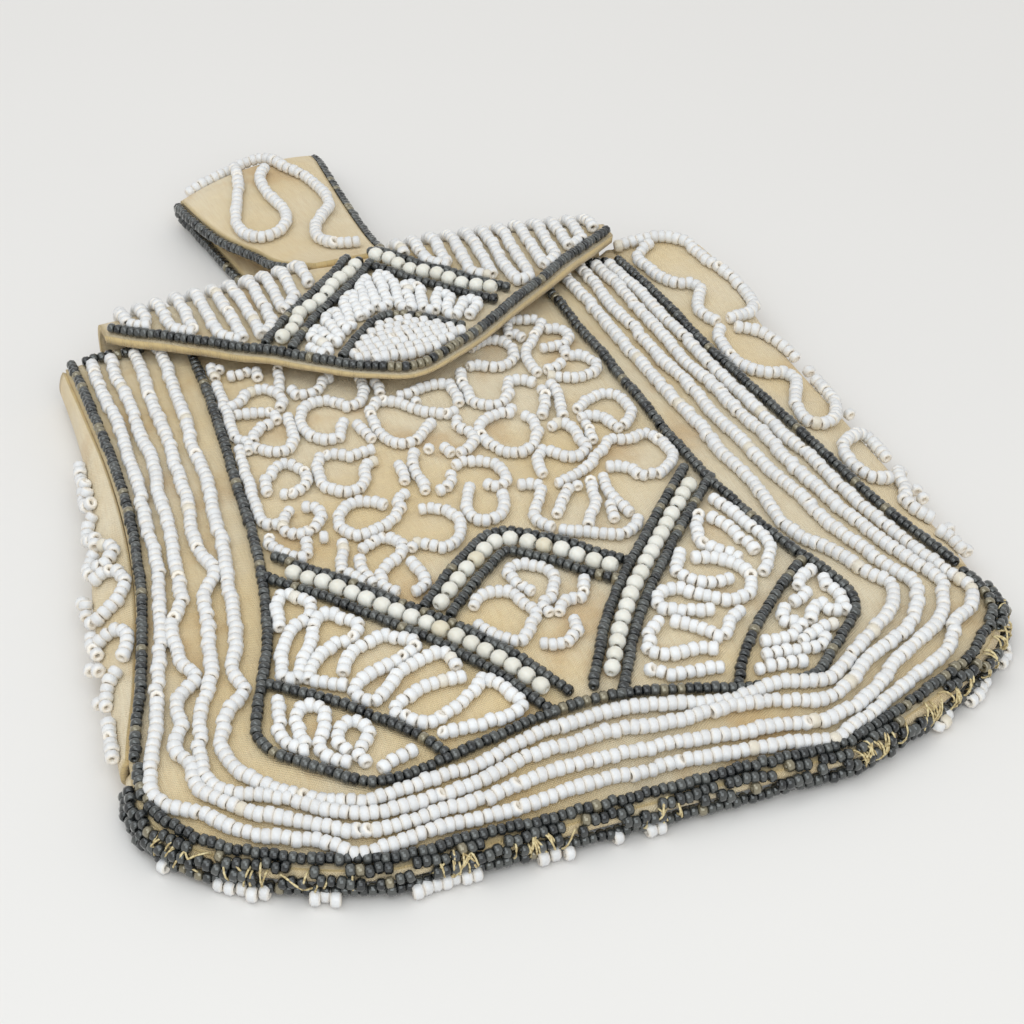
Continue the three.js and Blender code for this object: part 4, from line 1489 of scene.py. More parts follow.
@dataclass
class Workshop:
    """What every sub-assembly needs: the finishes and a seeded source of variation."""

    finishes: Finishes
    rng: Random

    def finish_piece(self, piece: Piece, material: Material, slot: Slot, *nodes: str) -> Piece:
        """Dress a piece and tie it to the frame.

        Args:
            piece: The finished mesh object.
            material: Its material.
            slot: The record's slot for it; not used.
            nodes: CAD nodes that it stands for.

        Returns:
            The piece.
        """
        piece.data.materials.append(material)
        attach(piece, BODY_NAME)
        if nodes:
            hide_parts(*nodes)
        LOG.info("%s: %d faces", piece.name, len(piece.data.polygons))
        return piece

    def silk_piece(self, piece: Piece, *nodes: str) -> Piece:
        """Dress a wall of cloth in silk."""
        return self.finish_piece(piece, self.finishes.silk, Slot.SILK, *nodes)

    def dark_row(self, name: str, runs: list[BeadRun], *nodes: str) -> Piece:
        """Join runs of gunmetal beads as one piece."""
        piece = bead_object(name, BeadRun.join(runs), SEED_DARK)
        return self.finish_piece(piece, self.finishes.gunmetal, Slot.GUNMETAL, *nodes)

    def white_row(
        self, name: str, runs: list[BeadRun], *nodes: str, shape: BeadShape = SEED_WHITE
    ) -> Piece:
        """Join runs of opal beads as one piece."""
        piece = bead_object(name, BeadRun.join(runs), shape)
        return self.finish_piece(piece, self.finishes.opal, Slot.WHITE, *nodes)

    def chalk_row(self, name: str, runs: list[BeadRun]) -> Piece:
        """Join runs of chalk white beads as one piece."""
        piece = bead_object(name, BeadRun.join(runs), SEED_CHALK)
        return self.finish_piece(piece, self.finishes.chalk, Slot.WHITE)

    def cream_row(self, name: str, runs: list[BeadRun], *nodes: str) -> Piece:
        """Join runs of cream beads as one piece."""
        piece = bead_object(name, BeadRun.join(runs), ROUND_CREAM)
        return self.finish_piece(piece, self.finishes.cream, Slot.CREAM, *nodes)


def outline_line(side: Side, inset: float, top: float) -> Array:
    """Give one side of the front's outline, from a height y down to the bottom's end.

    Args:
        side: Which side.
        inset: Distance inside the outline.
        top: Height y where it starts.

    Returns:
        Plan points from the top to the end of the straight bottom.
    """
    y = np.append(np.arange(top, BOTTOM_Y, -OUTLINE_STEP), BOTTOM_Y)
    line = joined(side.value * BODY.read(f"{side.label}_width", y), y)
    return offset_line(line, -side.value * inset)


def bottom_line(inset: float) -> Array:
    """Give the bottom outline from the left corner round to the right one, moved inside it."""
    left = outline_line(Side.LEFT, inset, CORNER_Y)
    right = outline_line(Side.RIGHT, inset, CORNER_Y)
    return straight_line(np.concatenate([left, right[::-1]]))


def border_line(row: BorderRow) -> Array:
    """Give a border row: points a share of the way from the field's edge to the seam.

    Args:
        row: The shares along the sides and along the bottom.

    Returns:
        Plan points from the left mouth round the bottom to the right mouth.
    """
    y = BODY.keys
    turn = np.clip((y - BOTTOM_Y) / (CORNER_Y - BOTTOM_Y), 0, 1)
    share = lerp(row.bottom, row.side, turn**2 * (3 - 2 * turn))
    halves = []
    for side in Side:
        width = BODY.columns[f"{side.label}_width"]
        x = side.value * lerp(BODY.columns["field_x"], width, share)
        halves.append(joined(x, lerp(BODY.columns["field_y"], y, share)))
    foot = np.array([[0.0, lerp(FIELD_FOOT_Y, BOTTOM_Y, row.bottom)]])
    knots = np.concatenate([halves[0][::-1], foot, halves[1]])
    return soften(straight_line(smooth_line(knots, slack=0.5)), reach=3)


# Sizes and reaches of the slow sways of a sewn row
ROW_SWAYS: Points = ((0.16, 2.7), (0.14, 5.9))


def kinked(line: Array, kinks: tuple[Kink, ...], rng: Random) -> Array:
    """Give a sewn row its unevenness: bell-shaped kinks and a slight sway.

    Args:
        line: Dense plan line.
        kinks: Where it strays.
        rng: Source of the sway.

    Returns:
        The uneven line.
    """
    run = lengths_along(line)
    sway = sum(size * np.sin(run / reach + rng.uniform(0, SWAY_PHASES)) for size, reach in ROW_SWAYS)
    for kink in kinks:
        nearest = run[np.argmin(np.hypot(line[:, 0] - kink.x, line[:, 1] - kink.y))]
        sway += kink.shift * np.exp(-(((run - nearest) / kink.reach) ** 2))
    return offset_line(line, sway)


@dataclass
class FrontPanel:
    """The front: crowned cloth, border rows, dark outlines, cream bands and the embroidery."""

    shop: Workshop
    rows: int = 150
    columns: int = 150
    hem_rows: int = 8
    hem_half: float = 0.2
    inner_face: float = -0.4
    mouth_inset: float = 1.6
    mouth_tuck: float = 6.0
    seam_stop: float = 0.8
    band_ends: Points = ((3.4, 3.6), (3.6, 2.4))
    chevron_ends: Span = (1.2, 1.6)
    chevron_line_ends: Span = (0.8, 1.2)
    outline_gap: float = 1.8
    band_gap: float = 5.4
    arm_gap: float = 4.7
    flap_cover: float = 7.0
    strand_gap: float = 1.1
    panel_gap: float = 1.1
    lip_start: float = 40.0
    lip_end: float = 45.0
    lip_rise: float = 4.4
    flat_size: Span = (0.128, 0.124)
    flat_area: float = 0.0126

    def run(self, line: Array, shape: BeadShape, wander: float = 0.05) -> BeadRun:
        """Thread beads on the front along a plan line."""
        height = bead_height(PANEL_CLOTH, shape)
        return thread_beads(FRONT, line, height, shape, self.shop.rng, wander)

    def build_cloth(self) -> None:
        """Lay the front cloth, each row of its grid the width at its y, and its hem at the bottom.

        The mouth's right corner rises in a small lip that meets the splayed gusset's top.
        """
        share, y = grid(np.linspace(-1, 1, self.columns), np.linspace(BOTTOM_Y, MOUTH_Y, self.rows))
        x = share * body_width(share, y)
        corner = np.clip((x - self.lip_start) / (self.lip_end - self.lip_start), 0, 1)
        at_mouth = np.clip((y - MOUTH_Y) / self.lip_rise + 1, 0, 1)
        y = y + self.lip_rise * corner * at_mouth
        piece = cloth_object("front_cloth", FRONT, x, y, 0.5 * PANEL_CLOTH, self.inner_face)
        self.shop.silk_piece(piece, "front_panel")
        seam = SeamGround()
        along, across = grid(
            np.linspace(0, seam.run[-1], self.columns), np.linspace(0, 1, self.hem_rows)
        )
        hem = cloth_object("bottom_cloth", seam, along, across, self.hem_half, -self.hem_half)
        self.shop.silk_piece(hem)

    def build_borders(self) -> None:
        """Thread the field's dark outline, the four white rows and the side seams."""
        outline = border_line(BorderRow(0.0, 0.0))
        self.shop.dark_row("field_outline", [self.run(outline, SEED_DARK)], "field_beads")
        for number, row in enumerate(BORDER_ROWS, 1):
            line = kinked(border_line(row), row.kinks, self.shop.rng)
            line = line[line[:, 1] < MOUTH_Y - self.mouth_inset]
            run = self.run(line, SEED_WHITE, wander=0.1)
            self.shop.white_row(f"border_row_{number}", [run], f"border_beads_{number}")
        for side in Side:
            line = outline_line(side, SEAM_INSET, MOUTH_Y)
            run = self.run(line[line[:, 1] > CORNER_Y + self.seam_stop], SEED_DARK)
            self.shop.dark_row(f"seam_row_{side.label}", [run], f"seam_beads_{side.label}")
        self.build_mouth_corners()

    def build_mouth_corners(self) -> None:
        """Turn the dark rows a little way along the mouth, from each seam to under the flap."""
        y = MOUTH_Y - 0.5 * SEED_DARK.diameter
        runs = []
        for side, reach in ((Side.LEFT, FLAP_EDGE.left_width), (Side.RIGHT, FLAP_EDGE.right_width)):
            corner = BODY.read(f"{side.label}_width", MOUTH_Y) - SEAM_INSET - SEED_DARK.diameter
            end = reach - self.mouth_tuck
            line = straight_line(((side.value * corner, y), (side.value * end, y)))
            runs.append(self.run(line, SEED_DARK, wander=0.1))
        self.shop.dark_row("mouth_row", runs)

    def build_motif(self) -> None:
        """Thread the cream bands with a dark line on each side, the chevron and the divisions."""
        band = smooth_line(BAND_LINE)
        chevron = smooth_line(extend_line(np.asarray(CHEVRON_LINE), *self.chevron_ends))
        dark = []
        for side in Side:
            flip = np.array([side.value, 1.0])
            cream = self.run(band * flip, ROUND_CREAM)
            self.shop.cream_row(f"cream_band_{side.label}", [cream], f"cream_beads_{side.label}")
            for offset, ends in zip((MOTIF_OFFSET, -MOTIF_OFFSET), self.band_ends):
                line = extend_line(offset_line(band, offset), *ends)
                dark.append(self.run(straight_line(line) * flip, SEED_DARK))
            dark.append(self.run(smooth_line(DIVISION_LINE) * flip, SEED_DARK))
        cream = self.run(chevron, ROUND_CREAM)
        self.shop.cream_row("cream_chevron", [cream], "cream_beads_chevron")
        for offset in (MOTIF_OFFSET, -MOTIF_OFFSET):
            line = soften(straight_line(offset_line(chevron, offset)), reach=2)
            line = extend_line(line, *self.chevron_line_ends)
            dark.append(self.run(straight_line(line), SEED_DARK))
        self.shop.dark_row("motif_outlines", dark)

    def fitted(self, strand: Points) -> Array:
        """Smooth a strand and push it off the dark outlines where it comes too near to them.

        A strand of the diamond stays under the chevron, and every other one above it.

        Args:
            strand: Its points in plan.

        Returns:
            Dense points of the strand.
        """
        x, y = smooth_line(strand).T
        edge = BODY.read("field_x", y) - self.outline_gap
        x = np.clip(x, -edge, edge)
        band = extend_line(np.asarray(BAND_LINE), 2 * self.outline_gap, 0.0)[::-1]
        arm = np.asarray(CHEVRON_LINE)[len(CHEVRON_LINE) // 2:]
        low = np.interp(np.abs(x), band[:, 0], band[:, 1]) + self.band_gap
        arm_y = np.interp(np.abs(x), arm[:, 0], arm[:, 1])
        in_diamond = (np.abs(x) < arm[-1, 0]) & (y < arm_y)
        if in_diamond.all():
            y = np.clip(y, low, np.maximum(arm_y - self.arm_gap, low))
        else:
            over_arm = np.abs(x) < arm[-1, 0] + self.outline_gap
            y = np.maximum(y, np.where(over_arm, np.maximum(low, arm_y + self.arm_gap), low))
        return joined(x, y)

    def build_field(self) -> None:
        """Fill the field with its net of strands, as far as the flap leaves it open."""
        beads = BeadRun.join(
            [self.run(self.fitted(strand), SEED_FIELD, wander=0.1) for strand in FIELD_STRANDS]
        )
        x, y = beads.centres[:, 0], beads.centres[:, 1]
        beads = beads.pick(y < FLAP_EDGE.line(x) + self.flap_cover)
        self.shop.white_row("field_loops", [beads.spaced(self.strand_gap)], shape=SEED_FIELD)

    def build_panels(self) -> None:
        """Fill the four corner panels with chalk strands that wind back and forth."""
        runs = [self.run(smooth_line(line), SEED_CHALK, wander=0.12) for line in PANEL_STRANDS]
        self.shop.chalk_row("panel_strands", [BeadRun.join(runs).spaced(self.panel_gap)])

    def build(self) -> None:
        """Build every piece of the front."""
        self.build_cloth()
        self.build_borders()
        self.build_motif()
        self.build_field()
        self.build_panels()


@dataclass
class Flap:
    """The pointed flap with its fold, edge row, chevron, finger strands and filled tip."""

    shop: Workshop
    columns: int = 120
    rows: int = 90
    finger_pitch: float = 3.05
    fold_overhang: float = 5.4
    finger_start: float = 8.4
    finger_margin: float = 1.4
    finger_stray: float = 0.35
    shortest_finger: float = 2.5
    leg_reach: float = 2.0
    leg_gap: float = 5.0
    edge_gap: float = 3.4
    leg_ends: Span = (1.4, 1.2)
    cream_sway: float = 0.45
    sway_reach: float = 1.6
    line_gap: float = 1.0
    zigzag_strokes: int = 17
    zigzag_gap: float = 1.25
    fill_pitch: float = 1.5
    fill_half_width: float = 12.0
    fill_span: Span = (31.4, 44.0)
    fill_edge_gap: float = 2.6
    fill_arc_gap: float = 1.7
    fill_steps: int = 200
    edge_steps: int = 400
    edge_inset: float = 1.1
    corner_reach: float = 1.2
    golden_from: float = -3.5
    golden_to: float = 11.0
    golden_above: float = 0.3
    hem_reach: float = 34.0
    hem_tip: float = 0.3
    hem_side: float = -0.5
    flat_size: Span = (0.09, 0.05)
    flat_area: float = 0.0032
    left_leg: Points = (
        (0.6, 62.2), (-3.6, 57.6), (-7.8, 53.4), (-12.4, 49.4), (-15.4, 45.8), (-17.6, 42.9),
    )
    right_leg: Points = (
        (3.4, 63.2), (6.2, 59.8), (9.0, 55.8), (12.4, 52.2), (16.0, 48.6), (19.0, 45.4),
    )
    arc: Points = (
        (-9.8, 35.9), (-6.0, 40.3), (-2.0, 43.9), (0.2, 44.8), (4.2, 43.4), (7.8, 40.4), (11.0, 37.5),
    )
    zigzag_top: Points = (
        (-14.2, 40.4), (-10.8, 45.6), (-6.6, 49.2), (-2.4, 53.2), (2.4, 58.2), (5.4, 53.8),
        (8.8, 50.2), (12.4, 46.6), (15.8, 43.0),
    )
    zigzag_foot: Points = (
        (-12.2, 36.9), (-8.8, 40.6), (-5.4, 44.0), (-2.4, 46.2), (0.4, 47.2), (3.6, 46.0),
        (6.6, 44.4), (9.6, 41.8), (12.6, 39.8),
    )

    def run(self, line: Array, shape: BeadShape, wander: float = 0.05) -> BeadRun:
        """Thread beads on the flap along a line in x and run."""
        height = bead_height(FLAP_CLOTH, shape)
        return thread_beads(FLAP, line, height, shape, self.shop.rng, wander)

    def build_cloth(self) -> None:
        """Lay the flap cloth from its edge, over the front and round the fold to the back.

        The hem is thickest at the two sides and thins out towards the tip.
        """
        share, t = grid(np.linspace(0, 1, self.columns), np.linspace(0, 1, self.rows))
        x = lerp(-FLAP_EDGE.left_width, FLAP_EDGE.right_width, share)
        end = FOLD.read("y", x) + math.pi * FLAP.radius(x)
        run = lerp(FLAP_EDGE.line(x), end, t)
        aside = np.minimum(np.abs(x) / self.hem_reach, 1.0)
        bottom = lerp(self.hem_tip, self.hem_side, aside)
        piece = cloth_object("flap_cloth", FLAP, x, run, 0.5 * FLAP_CLOTH, bottom)
        self.shop.silk_piece(piece, "flap")

    def build_lines(self) -> None:
        """Thread the edge row, the chevron's cream legs, their dark lines and the tip's arc."""
        inset = self.edge_inset
        x = np.linspace(inset - FLAP_EDGE.left_width, FLAP_EDGE.right_width - inset, self.edge_steps)
        edge = offset_line(joined(x, FLAP_EDGE.line(x)), inset)
        edge = straight_line(extend_line(edge, self.corner_reach, self.corner_reach))
        beads = self.run(edge, SEED_DARK)
        at = beads.centres[:, 0]
        golden = (at > self.golden_from) & (at < self.golden_to) & (beads.shade > self.golden_above)
        beads.shade = np.where(golden, 1.0, beads.shade)
        self.shop.dark_row("flap_edge_row", [beads], "flap_edge_beads")
        dark = [self.run(smooth_line(self.arc), SEED_DARK)]
        for label, leg in (("left", self.left_leg), ("right", self.right_leg)):
            line = smooth_line(leg)
            sway = self.cream_sway * np.sin(lengths_along(line) / self.sway_reach)
            cream = self.run(offset_line(line, sway), ROUND_CREAM)
            self.shop.cream_row(f"flap_cream_{label}", [cream], f"cream_beads_flap_{label}")
            for offset in (MOTIF_OFFSET, -MOTIF_OFFSET):
                dark_line = extend_line(offset_line(line, offset), *self.leg_ends)
                dark.append(self.run(straight_line(dark_line), SEED_DARK))
        self.shop.dark_row("flap_motif_lines", [BeadRun.join(dark).spaced(self.line_gap)])

    def build_fingers(self) -> None:
        """Run white strands up and down between the edge or chevron and the fold."""
        runs = []
        for leg, spread, flip in (
            (self.left_leg, FLAP_EDGE.left_width, -1.0), (self.right_leg, FLAP_EDGE.right_width, 1.0)
        ):
            inner = smooth_line(leg) * np.array([flip, 1.0])
            x = np.arange(self.finger_start, spread - self.finger_margin, self.finger_pitch)
            x = x + self.shop.rng.uniform(-self.finger_stray, self.finger_stray, len(x))
            foot = np.where(
                x < inner[-1, 0] + self.leg_reach,
                np.interp(x, inner[:, 0], inner[:, 1]) + self.leg_gap,
                FLAP_EDGE.line(x) + self.edge_gap,
            )
            top = FOLD.read("y", flip * x) + self.fold_overhang
            foot = np.minimum(foot, top - self.shortest_finger)
            feet = joined(flip * x, foot)
            tops = joined(flip * x, top)
            line = serpentine(feet, tops, len(x), turn=2)
            runs.append(self.run(line, SEED_WHITE, wander=0.1))
        self.shop.white_row("flap_fingers", runs)

    def build_tip(self) -> None:
        """Fill the space under the chevron with chalk zigzags and the tip with close rows."""
        line = serpentine(self.zigzag_top, self.zigzag_foot, self.zigzag_strokes, turn=2)
        zigzag = self.run(line, SEED_CHALK, wander=0.12)
        self.shop.chalk_row("flap_zigzag", [zigzag.spaced(self.zigzag_gap)])
        arc = smooth_line(self.arc)
        runs = []
        x = np.linspace(-self.fill_half_width, self.fill_half_width, self.fill_steps)
        low = FLAP_EDGE.line(x) + self.fill_edge_gap
        high = np.interp(x, arc[:, 0], arc[:, 1]) - self.fill_arc_gap
        for y in np.arange(*self.fill_span, self.fill_pitch):
            inside = (y > low) & (y < high)
            if inside.sum() > 2 * SEED_WHITE.pitch:
                line = joined(x[inside], np.full(inside.sum(), y))
                runs.append(self.run(line, SEED_WHITE, wander=0.12))
        self.shop.white_row("flap_tip_fill", runs)

    def build(self) -> None:
        """Build every piece of the flap."""
        self.build_cloth()
        self.build_lines()
        self.build_fingers()
        self.build_tip()


@dataclass
class GussetSide:
    """A pleated side: folded cloth with white loops that stand out on the crease.

    Strands are points of profile place and y; profile_step is the length of one profile step.
    A single bead is a strand of one, dot_half long each way and dot_lift higher.
    """

    shop: Workshop
    side: Side
    flat_width: float
    flat_area: float
    strands: Strands
    single_beads: Points
    profile_step: float = 4.0
    rows: int = 70
    columns: int = 40
    top_y: float = MOUTH_Y
    dot_half: float = 0.3
    dot_lift: float = 0.3
    strand_gap: float = 1.3
    flat_length: float = 0.092

    def build(self) -> None:
        """Build the gusset's cloth and its strand."""
        label = self.side.label
        ground = GussetGround(self.side)
        at, y = grid(
            np.linspace(0, GUSSET_FOLD.keys[-1], self.columns),
            np.linspace(GUSSETS.keys[0], self.top_y, self.rows),
        )
        piece = cloth_object(
            f"gusset_cloth_{label}", ground, at, y, 0.5 * GUSSET_CLOTH, -0.5 * GUSSET_CLOTH
        )
        self.shop.silk_piece(piece, f"gusset_{label}")
        height = 0.5 * GUSSET_CLOTH + 0.5 * SEED_WHITE.diameter
        rng = self.shop.rng
        runs = []
        for strand in self.strands:
            line = stepped_line(strand, self.profile_step)
            runs.append(thread_beads(ground, line, height, SEED_WHITE, rng, wander=0.12))
        for at, y in self.single_beads:
            dot = np.array([[at, y - self.dot_half], [at, y + self.dot_half]])
            lifted = height + self.dot_lift
            runs.append(thread_beads(ground, dot, lifted, SEED_WHITE, rng, wander=0.3))
        beads = BeadRun.join(runs).spaced(self.strand_gap)
        self.shop.white_row(f"gusset_strand_{label}", [beads])


@dataclass
class FingerLoop:
    """The finger loop behind the fold: a folded strip edged with dark beads."""

    shop: Workshop
    end: float = 89.0
    edge_offset: float = 1.0
    end_inset: float = 1.0
    edge_steps: int = 300
    rows: int = 160
    columns: int = 40
    strand_gap: float = 1.3
    flat_size: Span = (0.028, 0.0894)
    flat_area: float = 0.00205
    across_step: float = 11.0
    far_strand: Points = (
        (-0.84, 43.3), (-0.65, 42.9), (-0.4, 42.7), (-0.15, 42.4), (0.1, 41.8), (0.25, 40.8),
        (0.35, 38.8), (0.44, 35.6), (0.56, 33.2), (0.66, 30.4), (0.72, 27.4), (0.76, 24.0),
        (0.7, 20.5), (0.46, 17.7), (0.21, 14.6), (0.06, 11.0), (0.1, 7.8), (0.3, 5.4), (0.7, 4.2),
    )
    lobe: Points = (
        (-0.16, 41.0), (-0.22, 37.6), (-0.3, 34.2), (-0.46, 30.2), (-0.65, 26.1), (-0.8, 22.2),
        (-0.84, 18.8), (-0.76, 16.4), (-0.56, 15.8), (-0.29, 17.2), (-0.06, 20.4), (0.0, 24.3),
        (-0.03, 28.2), (-0.02, 31.7), (0.07, 35.4), (0.2, 37.0),
    )

    def run(self, line: Array, shape: BeadShape, height: float) -> BeadRun:
        """Thread beads on the loop along a line of across and along."""
        return thread_beads(LoopGround(), line, height, shape, self.shop.rng)

    def build(self) -> None:
        """Build the loop's cloth, its edge rows and its white strands."""
        across, along = grid(np.linspace(-1, 1, self.columns), np.linspace(0, self.end, self.rows))
        piece = cloth_object(
            "loop_cloth", LoopGround(), across, along, 0.5 * LOOP_CLOTH, -0.5 * LOOP_CLOTH
        )
        self.shop.silk_piece(piece, "finger_loop")
        run = np.linspace(self.end_inset, self.end - self.end_inset, self.edge_steps)
        half = LOOP.read("half_width", run)
        for side in Side:
            line = joined(side.value * (half + self.edge_offset) / half, run)
            beads = self.run(line, SEED_DARK, height=0.0)
            self.shop.dark_row(f"loop_row_{side.label}", [beads], f"loop_beads_{side.label}")
        height = 0.5 * LOOP_CLOTH + 0.5 * SEED_WHITE.diameter
        runs = []
        for strand in (self.far_strand, self.lobe):
            runs.append(self.run(stepped_line(strand, self.across_step), SEED_WHITE, height))
        self.shop.white_row("loop_strands", [BeadRun.join(runs).spaced(self.strand_gap)])


@dataclass
class BottomSeam:
    """The bottom: dark rows sewn closely over a cloth strip, stitches and beads of the back."""

    shop: Workshop
    back_outset: float = 1.3
    back_bead_z: float = 1.4
    row_wander: float = 0.14
    fill_gap: float = 1.25
    upper_sway: Span = (0.1, 0.06)
    lower_sway: Span = (0.42, 0.08)
    sway_reach: float = 1.9
    sway_share: Span = (0.6, 1.0)
    strand_lift: float = 0.2
    strand_step: float = 0.3
    peek_outset: float = 1.9
    peek_drop: float = 1.0
    thread_radius: float = 0.15
    stitch_count: int = 110
    stitch_points: int = 9
    stitch_groups: tuple[float, ...] = (
        0.10, 0.16, 0.21, 0.33, 0.41, 0.52, 0.72, 0.79, 0.84, 0.90, 0.95,
    )
    group_spread: float = 0.014
    stitch_slant: float = 2.2
    stitch_start: Span = (-0.25, 0.35)
    stitch_end: Span = (0.5, 1.0)
    stitch_margin: float = 1.0
    stitch_lift: float = 0.6
    stitch_arch: Span = (0.9, 1.3)
    upper_spans: Points = (
        (0.02, 0.11), (0.13, 0.22), (0.24, 0.36), (0.375, 0.50), (0.515, 0.625), (0.635, 0.76),
        (0.82, 0.87), (0.92, 0.98),
    )
    lower_spans: Points = (
        (0.03, 0.17), (0.185, 0.295), (0.31, 0.45), (0.465, 0.585), (0.60, 0.725), (0.735, 0.79),
        (0.86, 0.90), (0.94, 0.97),
    )
    peeking_spans: Points = (
        (0.09, 0.10), (0.14, 0.19), (0.22, 0.245), (0.30, 0.36), (0.405, 0.44), (0.47, 0.485),
        (0.50, 0.52), (0.785, 0.81), (0.83, 0.87), (0.89, 0.92),
    )

    def build(self) -> None:
        """Build the rows, the peeking beads and the stitches."""
        rng = self.shop.rng
        seam = SeamGround()
        height = bead_height(PANEL_CLOTH, SEED_DARK)
        line = bottom_line(SEAM_INSET)
        front_run = thread_beads(FRONT, line, height, SEED_DARK, rng, self.row_wander)
        self.shop.dark_row("bottom_row_front", [front_run], "bottom_beads_front")
        height = self.back_bead_z - BACK_CLOTH_Z
        line = bottom_line(-self.back_outset)
        back_run = thread_beads(BACK, line, height, SEED_DARK, rng, self.row_wander)
        self.shop.dark_row("bottom_row_back", [back_run], "bottom_beads_back")
        fill = [self.seam_strand(seam, span, *self.upper_sway) for span in self.upper_spans]
        fill += [self.seam_strand(seam, span, *self.lower_sway) for span in self.lower_spans]
        others = BeadRun.join([front_run, back_run, *fill])
        extra = len(front_run.size) + len(back_run.size)
        keep = others.clear_of(self.fill_gap)
        self.shop.dark_row("bottom_fill", [others.pick(keep & (np.arange(len(keep)) >= extra))])
        self.build_peeking()
        self.build_stitches(seam)

    def seam_strand(self, seam: SeamGround, span: Span, across: float, sway: float) -> BeadRun:
        """Thread dark beads along part of the seam.

        Args:
            seam: The seam's strip.
            span: Shares of the seam's length where the strand starts and ends.
            across: Where it runs across the strip.
            sway: How far it wanders across.

        Returns:
            The beads.
        """
        rng = self.shop.rng
        run = np.arange(span[0] * seam.run[-1], span[1] * seam.run[-1], self.strand_step)
        wave = np.sin(run / self.sway_reach + rng.uniform(0, SWAY_PHASES))
        line = joined(run, across + sway * wave * rng.uniform(*self.sway_share))
        height = self.strand_lift + 0.5 * SEED_DARK.diameter
        return thread_beads(seam, line, height, SEED_DARK, rng, wander=0.2)

    def build_peeking(self) -> None:
        """Thread the groups of the back's white beads that show under the bottom."""
        rng = self.shop.rng
        line = bottom_line(-self.peek_outset)
        runs = []
        for start, end in self.peeking_spans:
            part = line[int(start * len(line)):int(end * len(line))]
            runs.append(thread_beads(BACK, part, -self.peek_drop, SEED_WHITE, rng, wander=0.25))
        self.shop.white_row("back_beads_peeking", runs)

    def build_stitches(self, seam: SeamGround) -> None:
        """Sew slanting thread stitches over the seam, in loose groups.

        Each stitch is an arch across the strip that stands up over the beads.

        Args:
            seam: The seam's strip.
        """
        rng = self.shop.rng
        paths = []
        share = np.linspace(0, 1, self.stitch_points)
        first, last = self.stitch_margin, seam.run[-1] - self.stitch_margin
        middles = rng.choice(np.array(self.stitch_groups), self.stitch_count)
        middles = middles + rng.normal(0, self.group_spread, self.stitch_count)
        for middle in middles:
            slant = rng.normal(0, self.stitch_slant)
            start, end = rng.uniform(*self.stitch_start), rng.uniform(*self.stitch_end)
            a = np.clip(middle * seam.run[-1] + slant * (share - 0.5), first, last)
            b = np.clip(lerp(start, end, share), 0.0, 1.0)
            height = self.stitch_lift + rng.uniform(*self.stitch_arch) * np.sin(math.pi * share)
            points, normals = seam.place(a, b, 0.0)
            paths.append(points + height[:, None] * normals)
        piece = tube_object("seam_stitches", paths, self.thread_radius)
        self.shop.finish_piece(piece, self.shop.finishes.thread, Slot.SILK)


@dataclass
class BackPanel:
    """The back: flat cloth that rests on plain rows and loops of white beads."""

    shop: Workshop
    bead_z: float = 0.95
    rows: int = 60
    columns: int = 60
    cloth_half: float = 0.3
    row_shares: tuple[float, ...] = (0.45, 0.75, 0.93)
    chain_levels: Span = (-34.0, 54.0)
    chain_pitch: float = 13.5
    chain_start: float = -37.0
    chain_length: float = 76.0
    lobe_radius: Span = (3.4, 4.4)
    lobe_swing: Span = (118.0, 138.0)
    edge_margin: float = 0.5
    strand_gap: float = 1.4
    flat_size: Span = (0.126, 0.122)
    flat_area: float = 0.0125

    def build(self) -> None:
        """Build the back's cloth and its beads."""
        share, y = grid(np.linspace(-1, 1, self.columns), np.linspace(BOTTOM_Y, MOUTH_Y, self.rows))
        x = share * body_width(share, y)
        piece = cloth_object("back_cloth", BACK, x, y, self.cloth_half, -self.cloth_half)
        self.shop.silk_piece(piece, "back_panel")
        height = self.bead_z - BACK_CLOTH_Z
        rng = self.shop.rng
        runs = []
        for share_out in self.row_shares:
            line = border_line(BorderRow(share_out, share_out))
            runs.append(thread_beads(BACK, line, height, SEED_WHITE, rng))
        for level in np.arange(*self.chain_levels, self.chain_pitch):
            chain = lobe_chain(self.chain_length, self.lobe_radius, self.lobe_swing, rng)
            chain += np.array([self.chain_start, level])
            runs.append(thread_beads(BACK, chain, height, SEED_WHITE, rng))
        beads = BeadRun.join(runs)
        x, y = beads.centres[:, 0], beads.centres[:, 1]
        inside = np.abs(x) < body_width(x, y) - self.edge_margin
        self.shop.white_row("back_loops", [beads.pick(inside).spaced(self.strand_gap)])


@dataclass(frozen=True)
class SoftLight:
    """A square soft light that points at the middle of the bag, in metres and watts."""

    name: str
    place: Position
    size: float
    power: float


